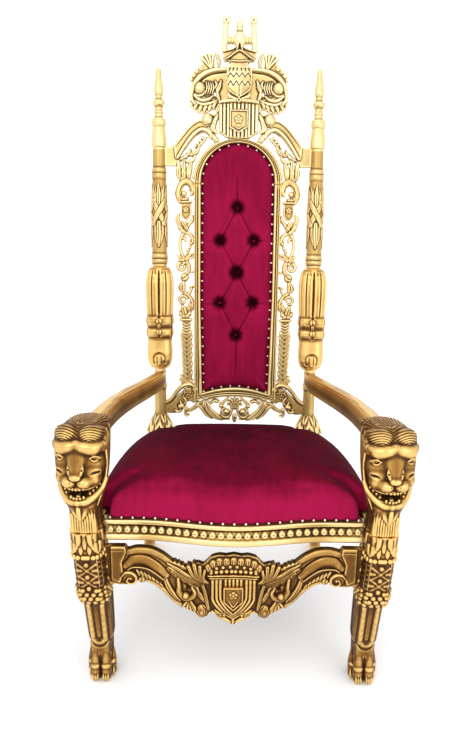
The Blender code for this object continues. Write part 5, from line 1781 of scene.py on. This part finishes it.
def carve_nose(s):
    """A broad slab of a nose with sloping sides, wings at the nostrils and a three-cornered tip."""
    s.column([(0, -356, 604, 22, 26), (0, -354, 620, 28, 27), (0, -350, 645, 34, 27),
              (0, -347, 676, 35, 26)], 2.6, 9.0)
    s.column([(0, -383, 606, 14, 17), (0, -378, 625, 19, 18), (0, -372, 648, 23, 18),
              (0, -364, 684, 25, 17)], 3.0, 5.0)
    s.ball((0, -392, 610), (15, 11, 9), 5.0)
    for side in (-1, 1):
        s.stroke([(side * 16, -384, 640, 2.0), (side * 18, -388, 630, 3.6), (side * 15, -392, 619, 3.4)], 4.0)
        s.ball((side * 18, -393, 629), (2.6, 4.0, 3.0), 1.0, cut=True)


def carve_jaws(s):
    """Muzzle pads, open mouth with teeth, the lower lip and the pointed beard."""
    for side in (-1, 1):
        s.ball((side * 19, -379, 595), (20, 22, 17), 2.0)
        s.ball((side * 36, -365, 602), (22, 22, 19), 7.0)
        s.stroke([(side * 16, -402, 607, 1.4), (side * 28, -393, 613, 2.4), (side * 41, -383, 619, 2.8),
                  (side * 54, -367, 619, 2.4)],
                 3.0, cut=True)
        for k in range(3):
            for j in range(2):
                s.ball((side * (12 + 8 * k), -400 + 1.8 * k * k, 596 - 7 * j + k), (1.3, 3.0, 1.3), 0.4,
                       cut=True)
        s.stroke([(side * 18, -386, 562, 10), (side * 35, -374, 565, 9.5), (side * 47, -356, 576, 7.5),
                  (side * 54, -342, 589, 4.5)],
                 1.5, cut=True)
    s.stroke([(0, -408, 602, 1.2), (0, -404, 588, 1.8), (0, -400, 577, 1.8)], 0.8, cut=True)
    s.ball((0, -386, 562), (30, 34, 13), 2.0, cut=True)
    for rows in both([(0, -385, 539, 8.5), (20, -381, 541, 9), (38, -367, 551, 9), (53, -348, 567, 8),
                      (61, -338, 588, 6.5)]):
        s.stroke(rows, 2.5)
    s.ball((0, -362, 530), (34, 26, 14), 5.0)
    s.stroke([(0, -366, 548, 9), (0, -374, 551, 6)], 2.0)
    for k in range(-2, 3):
        bow = 1.4 * k * k
        s.ball((8.6 * k, -391 + bow, 577.0), (3.9, 3.2, 4.0), 0.4)
        s.ball((8.0 * k, -388 + bow, 551.5), (3.7, 3.2, 4.2 if abs(k) < 2 else 7.0), 0.4)
    for side in (-1, 1):
        for k in range(4):
            s.ball((side * (30 + 6.2 * k), -373 + 8.6 * k, 561.0 + 5.2 * k), (3.2, 4.0, 4.2), 0.4)
    s.ball((0, -370, 522), (24, 20, 15), 4.0)
    for rows in both([(16, -370, 532, 11), (11, -382, 513, 8.5), (3, -389, 496, 3.5)]):
        s.stroke(rows, 3.0)
    s.stroke([(0, -382, 534, 8), (0, -391, 512, 6.5), (0, -393, 491, 2.4)], 1.2)
    # Ridge between the face and the mane.
    for rows in both([(56, -344, 716, 2.5), (62, -344, 695, 3.5), (66, -340, 650, 3.5), (63, -338, 605, 3.5),
                      (54, -346, 560, 3.5), (41, -360, 525, 3.0)]):
        s.stroke(rows, 1.5)


def lion_shade(points, normals):
    """Painted highlight on the front of the fringe and of the brow, painted shade down the sides and over the
    hair on top, and a little darker all over.
    """
    z = points[:, 2]
    front = smoothstep(-normals[:, 1], 0.2, 0.8)
    fringe = 0.40 * front * smoothstep(z, 452.0, 460.0) * smoothstep(z, 520.0, 500.0)
    sides = -0.22 * smoothstep(np.abs(normals[:, 0]), 0.55, 0.95)
    hair = -0.16 * smoothstep(z, 694.0, 706.0) * smoothstep(points[:, 1], -384.0, -350.0)
    brow = 0.12 * front * smoothstep(z, 664.0, 676.0) * smoothstep(z, 702.0, 694.0)
    return fringe + sides + hair + brow - 0.07


def build_lion_heads():
    s = Sculpt((-90, -416, 451), (90, -208, 752), HEAD_STEP)
    carve_mane(s)
    carve_fringe(s)
    carve_brow(s)
    carve_nose(s)
    carve_jaws(s)
    s.trim(455.2)
    points, faces = s.mesh()
    # The heads look slightly outwards.
    turn = 0.10 * smoothstep(points[:, 2], 470.0, 560.0)
    x, y = points[:, 0].copy(), points[:, 1] + 300.0
    points[:, 0] = HEAD_X + x * np.cos(turn) - y * np.sin(turn) - 6.0 * smoothstep(y, 0.0, 90.0)
    points[:, 1] = -300.0 + x * np.sin(turn) + y * np.cos(turn)
    make_pair("lion_head_carved", points, faces, AGED_SHADED, ["lion_head"], "aged_gilt", wear=0.85,
              shade=lion_shade)


# ---- front legs ----------------------------------------------------------------------------------


LEG = np.array([
    # z, x, y, half width, half depth
    (0, 357, -317, 26, 31), (14, 357, -318, 28, 34), (34, 357, -319, 28, 35), (55, 357, -321, 28, 35),
    (78, 357, -324, 28, 37), (110, 357, -325, 29, 38.5), (150, 357, -325, 30, 41),
    (200, 359, -326, 31.5, 43.5),
    (238, 361, -327, 32, 45), (250, 365, -328, 35, 49), (262, 369, -330, 36, 51), (300, 373, -331, 36.5, 52),
    (350, 376, -333, 37, 52.5), (395, 378, -334, 37, 52.5), (430, 379, -334, 36.5, 52),
    (454.8, 380, -335, 36, 52),
])
LEG_POWER = 4.0


def on_leg(face, u, z, proud=0.0):
    """A place on the leg: face 0 is the front, 1 and -1 the sides; u runs -1 to 1 across it."""
    x, y, a, b = [float(np.interp(z, LEG[:, 0], LEG[:, k])) for k in (1, 2, 3, 4)]
    round_off = (1 - min(0.999, abs(u)) ** LEG_POWER) ** (1 / LEG_POWER)
    if face == 0:
        return np.array([x + u * a, y - b * round_off - proud, z])
    return np.array([x + face * (a * round_off + proud), y + u * b, z])


def leg_stroke(s, face, rows, soft=1.0, cut=False):
    """A stroke over one face: rows of (u, z, radius, how far its middle stands out)."""
    s.stroke([(*on_leg(face, u, z, proud), radius) for u, z, radius, proud in rows], soft, cut)


def hanging_leaf(s, face, u, top, foot, wide):
    """A broad pointed leaf with a sunk vein."""
    tall = top - foot
    leg_stroke(s, face, [(u, top, wide, 2.5 - wide), (u, foot + 0.45 * tall, 0.95 * wide, 3.2 - 0.95 * wide),
                         (u, foot, 0.3 * wide, 1.0)], 1.5)
    leg_stroke(s, face, [(u, top, 0.9, 3.0), (u, foot + 0.3 * tall, 0.9, 3.4)], 1.0, cut=True)


def carve_collar(s, face):
    """Two rows of hanging leaves."""
    for u in (-0.86, -0.30, 0.30, 0.86):
        hanging_leaf(s, face, u, 424, 398, 9.0)
    for u in (-0.98, -0.56, 0.0, 0.56, 0.98):
        hanging_leaf(s, face, u, 454, 414, 8.0 if abs(u) > 0.9 else 12.0)


def carve_thigh(s, face):
    """Bead ring, bordered panel with beads between crossing ribbons, and a cluster of berries below."""
    for u in (-0.92, -0.52, 0.52, 0.92):
        s.ball(on_leg(face, u, 388, 1.0), (7.0, 7.0, 7.0), 0.4)
    leg_stroke(s, face, [(-0.17, 388, 6.6, 1), (0.17, 388, 6.6, 1)], 0.4)
    leg_stroke(s, face, [(0, 376, 11, -10.5), (0, 286, 11, -10.5)], 2.5)
    for u in (-0.70, 0.70):
        leg_stroke(s, face, [(u, 378, 2.6, -0.8), (u, 284, 2.6, -0.8)], 1.5)
        for k in range(7):
            s.ball(on_leg(face, 1.24 * u, 372 - 14.0 * k, 0.0), (2.3, 2.3, 2.3), 0.4)
    for z in (350, 315):
        for side in (-1, 1):
            leg_stroke(s, face, [(side * 0.58, z + 17, 4.0, -2), (0, z, 5.0, -2),
                                 (-side * 0.58, z - 17, 4.0, -2)], 2.5)
            leg_stroke(s, face, [(side * 0.40, z, 6.0, -3.5), (side * 0.62, z, 6.0, -3.5)], 3.0)
    for z in (368, 332.5, 298):
        s.ball(on_leg(face, 0, z, 2.0), (6.8, 6.8, 6.8), 0.4)
    for row, (z, r) in enumerate(((291, 6.5), (279, 6.8), (267, 7.2), (256, 6.5))):
        for k in range(5):
            u = -0.96 + 0.48 * k + (0.24 if row % 2 else 0.0)
            if abs(u) > 1.0 or (row == 0 and abs(u) < 0.3):
                continue
            s.ball(on_leg(face, u, z, 1.2), (r + 0.6, r + 0.6, r), 1.2)


def u_bend(half, top, foot, drop, radius, proud):
    """Rows for a U on the leg: straight sides and a round foot."""
    side = [(half, top), (half, foot + drop), (0.86 * half, foot + 0.5 * drop),
            (0.52 * half, foot + 0.14 * drop)]
    rows = [(-u, z) for u, z in side] + [(0.0, foot)] + side[::-1]
    return [(u, z, radius, proud) for u, z in rows]


def carve_shank(s, face):
    """Nested U flutes on the lower leg."""
    leg_stroke(s, face, u_bend(0.80, 246, 108, 28, 3.4, 2.4), 2.5, cut=True)
    leg_stroke(s, face, u_bend(0.25, 242, 136, 10, 3.0, 1.9), 2.0, cut=True)
    leg_stroke(s, face, u_bend(0.53, 242, 122, 19, 7.6, -4.6), 3.5)


def carve_paw(s):
    """Four toes with knuckles and claws."""
    for dx, back, r in ((-14, 0, 13.5), (14, 0, 13.5), (-26, 22, 12.0), (26, 22, 12.0)):
        x, y = 357 + dx, back - 353
        s.stroke([(357 + 0.75 * dx, y + 6, 112, 0.5 * r), (357 + 0.9 * dx, y + 2, 80, 0.8 * r), (x, y, 50, r),
                  (x, y - 3, 24, r), (x, y, 9, 0.9 * r)], 2.5)
        s.ball((x, y - 5, 46), (0.95 * r, 11.5, 9.5), 3.0)
        for claw in (-6.0, 0.0, 6.0):
            s.stroke([(x + claw, y - 13, 27, 1.8), (x + claw, y - 17, 15, 3.0), (x + claw, y - 14, 3, 1.8)],
                     1.2)
    for x, y in ((357, -362), (332, -348), (382, -348)):
        s.stroke([(x, y + 2, 84, 0.8), (x, y - 1, 55, 1.4), (x, y - 3, 20, 1.8), (x, y, 0, 1.8)], 2.5,
                 cut=True)


def leg_shade(points, normals):
    """Painted highlight on the front of the collar, painted shade down the sides, and darker over the thigh
    and all over.
    """
    z = points[:, 2]
    front = smoothstep(-normals[:, 1], 0.1, 0.8)
    collar = 0.22 * front * smoothstep(z, 376.0, 392.0)
    sides = -0.24 * smoothstep(np.abs(normals[:, 0]), 0.5, 0.95)
    thigh = -0.08 * smoothstep(z, 250.0, 258.0) * smoothstep(z, 384.0, 376.0)
    return collar + sides + thigh - 0.13


def build_front_legs():
    s = Sculpt((308, -400, -4), (430, -266, 462), LEG_STEP)
    s.column([(x, y, z, a, b) for z, x, y, a, b in LEG], power=LEG_POWER, soft=0.0)
    for face in (0, 1, -1):
        carve_collar(s, face)
        carve_thigh(s, face)
        carve_shank(s, face)
    carve_paw(s)
    s.trim(0.2)
    s.trim(454.6, above=True)
    points, faces = s.mesh()
    make_pair("front_leg_carved", points, faces, AGED_SHADED, ["front_leg"], "aged_gilt", shade=leg_shade)


# ---- pieces that keep their CAD shape ------------------------------------------------------------


def dress(node, look):
    """Give a CAD node that keeps its shape a better material."""
    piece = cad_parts[node]
    piece.data.materials.clear()
    piece.data.materials.append(look)


def build_hidden_pieces():
    for node in ("rear_rail", "corner_block_fl", "corner_block_fr", "corner_block_rl", "corner_block_rr",
                 "seat_deck"):
        dress(node, WOOD)
    dress("dust_cover", LINING)
    dress("backboard", VELVET)


# ---- floor, light and camera ---------------------------------------------------------------------


def build_floor():
    mesh = bpy.data.meshes.new("studio_floor")
    reach = 60.0
    mesh.from_pydata([(-reach, -reach, 0), (reach, -reach, 0), (reach, reach, 0), (-reach, reach, 0)], [],
                     [(0, 1, 2, 3)])
    floor = bpy.data.objects.new("studio_floor", mesh)
    bpy.context.scene.collection.objects.link(floor)
    n = Nodes("floor_paint")
    cloud = n.noise(1.5, 3.0)
    colour = n.ramp(cloud, [(0.3, (0.975, 0.975, 0.98)), (0.7, (0.99, 0.99, 0.995))])
    mesh.materials.append(n.finish({"Base Color": colour, "Roughness": 0.85, "Specular IOR Level": 0.1}))


def area_light(name, place, aim, size, power, colour=(1.0, 1.0, 1.0)):
    lamp = bpy.data.lights.new(name, "AREA")
    lamp.shape = "RECTANGLE"
    lamp.size, lamp.size_y = size
    lamp.energy = power
    lamp.color = colour
    thing = bpy.data.objects.new(name, lamp)
    thing.location = place
    thing.rotation_euler = (Vector(aim) - Vector(place)).to_track_quat("-Z", "Y").to_euler()
    bpy.context.scene.collection.objects.link(thing)


def build_light():
    world = bpy.data.worlds.new("studio")
    bpy.context.scene.world = world
    world.use_nodes = True
    tree = world.node_tree
    back = tree.nodes["Background"]
    place = tree.nodes.new("ShaderNodeTexCoord")
    split = tree.nodes.new("ShaderNodeSeparateXYZ")
    ramp = tree.nodes.new("ShaderNodeValToRGB")
    tree.links.new(place.outputs["Generated"], split.inputs[0])
    lift = tree.nodes.new("ShaderNodeMapRange")
    lift.inputs["From Min"].default_value = -1.0
    tree.links.new(split.outputs["Z"], lift.inputs["Value"])
    # White round the chair and a little greyer overhead, so the gilding has something to reflect.
    stops = ((0.00, 0.62), (0.48, 0.80), (0.50, 1.00), (0.62, 1.00), (0.80, 0.96), (1.00, 0.80))
    while len(ramp.color_ramp.elements) < len(stops):
        ramp.color_ramp.elements.new(0.5)
    for element, (at, grey) in zip(ramp.color_ramp.elements, stops):
        element.position = at
        element.color = (grey, grey, grey, 1.0)
    tree.links.new(lift.outputs[0], ramp.inputs["Fac"])
    tree.links.new(ramp.outputs["Color"], back.inputs["Color"])
    back.inputs["Strength"].default_value = 1.32
    area_light("key_softbox", (-0.9, -3.0, 2.4), (0, 0, 0.9), (1.8, 1.8), 26.0, (1.0, 0.98, 0.95))
    area_light("fill_softbox", (1.8, -2.4, 1.4), (0, 0, 0.8), (1.6, 2.0), 14.0)
    area_light("top_softbox", (0.0, -0.4, 3.4), (0, 0, 0.8), (2.2, 2.2), 12.0)


CAMERA_PLACE = (-0.015, -1.90, 1.28)
CAMERA_PITCH = math.radians(15.0)
CAMERA_ROLL = math.radians(0.75)
LENS_MM = 31.92


def build_camera():
    pitch, roll = CAMERA_PITCH, CAMERA_ROLL
    forward = Vector((0.0, math.cos(pitch), -math.sin(pitch)))
    right = Vector((1.0, 0.0, 0.0))
    up = right.cross(forward)
    axis_x = math.cos(roll) * right + math.sin(roll) * up
    axis_y = math.cos(roll) * up - math.sin(roll) * right
    camera = bpy.data.cameras.new("camera")
    camera.sensor_width = 36.0
    camera.lens = LENS_MM
    thing = bpy.data.objects.new("camera", camera)
    place = Matrix((axis_x, axis_y, -forward)).transposed().to_4x4()
    place.translation = Vector(CAMERA_PLACE)
    thing.matrix_world = place
    bpy.context.scene.collection.objects.link(thing)
    bpy.context.scene.camera = thing
    bpy.context.scene.view_settings.view_transform = "Standard"


HEAD_STEP = 1.6
LEG_STEP = 1.5

build_camera()
build_light()
build_floor()
build_hidden_pieces()
build_seat_frame()
build_seat_cushion()
build_seat_nails()
build_back_frame()
build_back_pad()
build_posts()
build_crest_mantling()
build_crest_shields()
build_crest_crown()
build_shoulders()
build_frets()
build_lower_back()
build_apron()
build_arms()
build_rear_legs()
build_lion_heads()
build_front_legs()
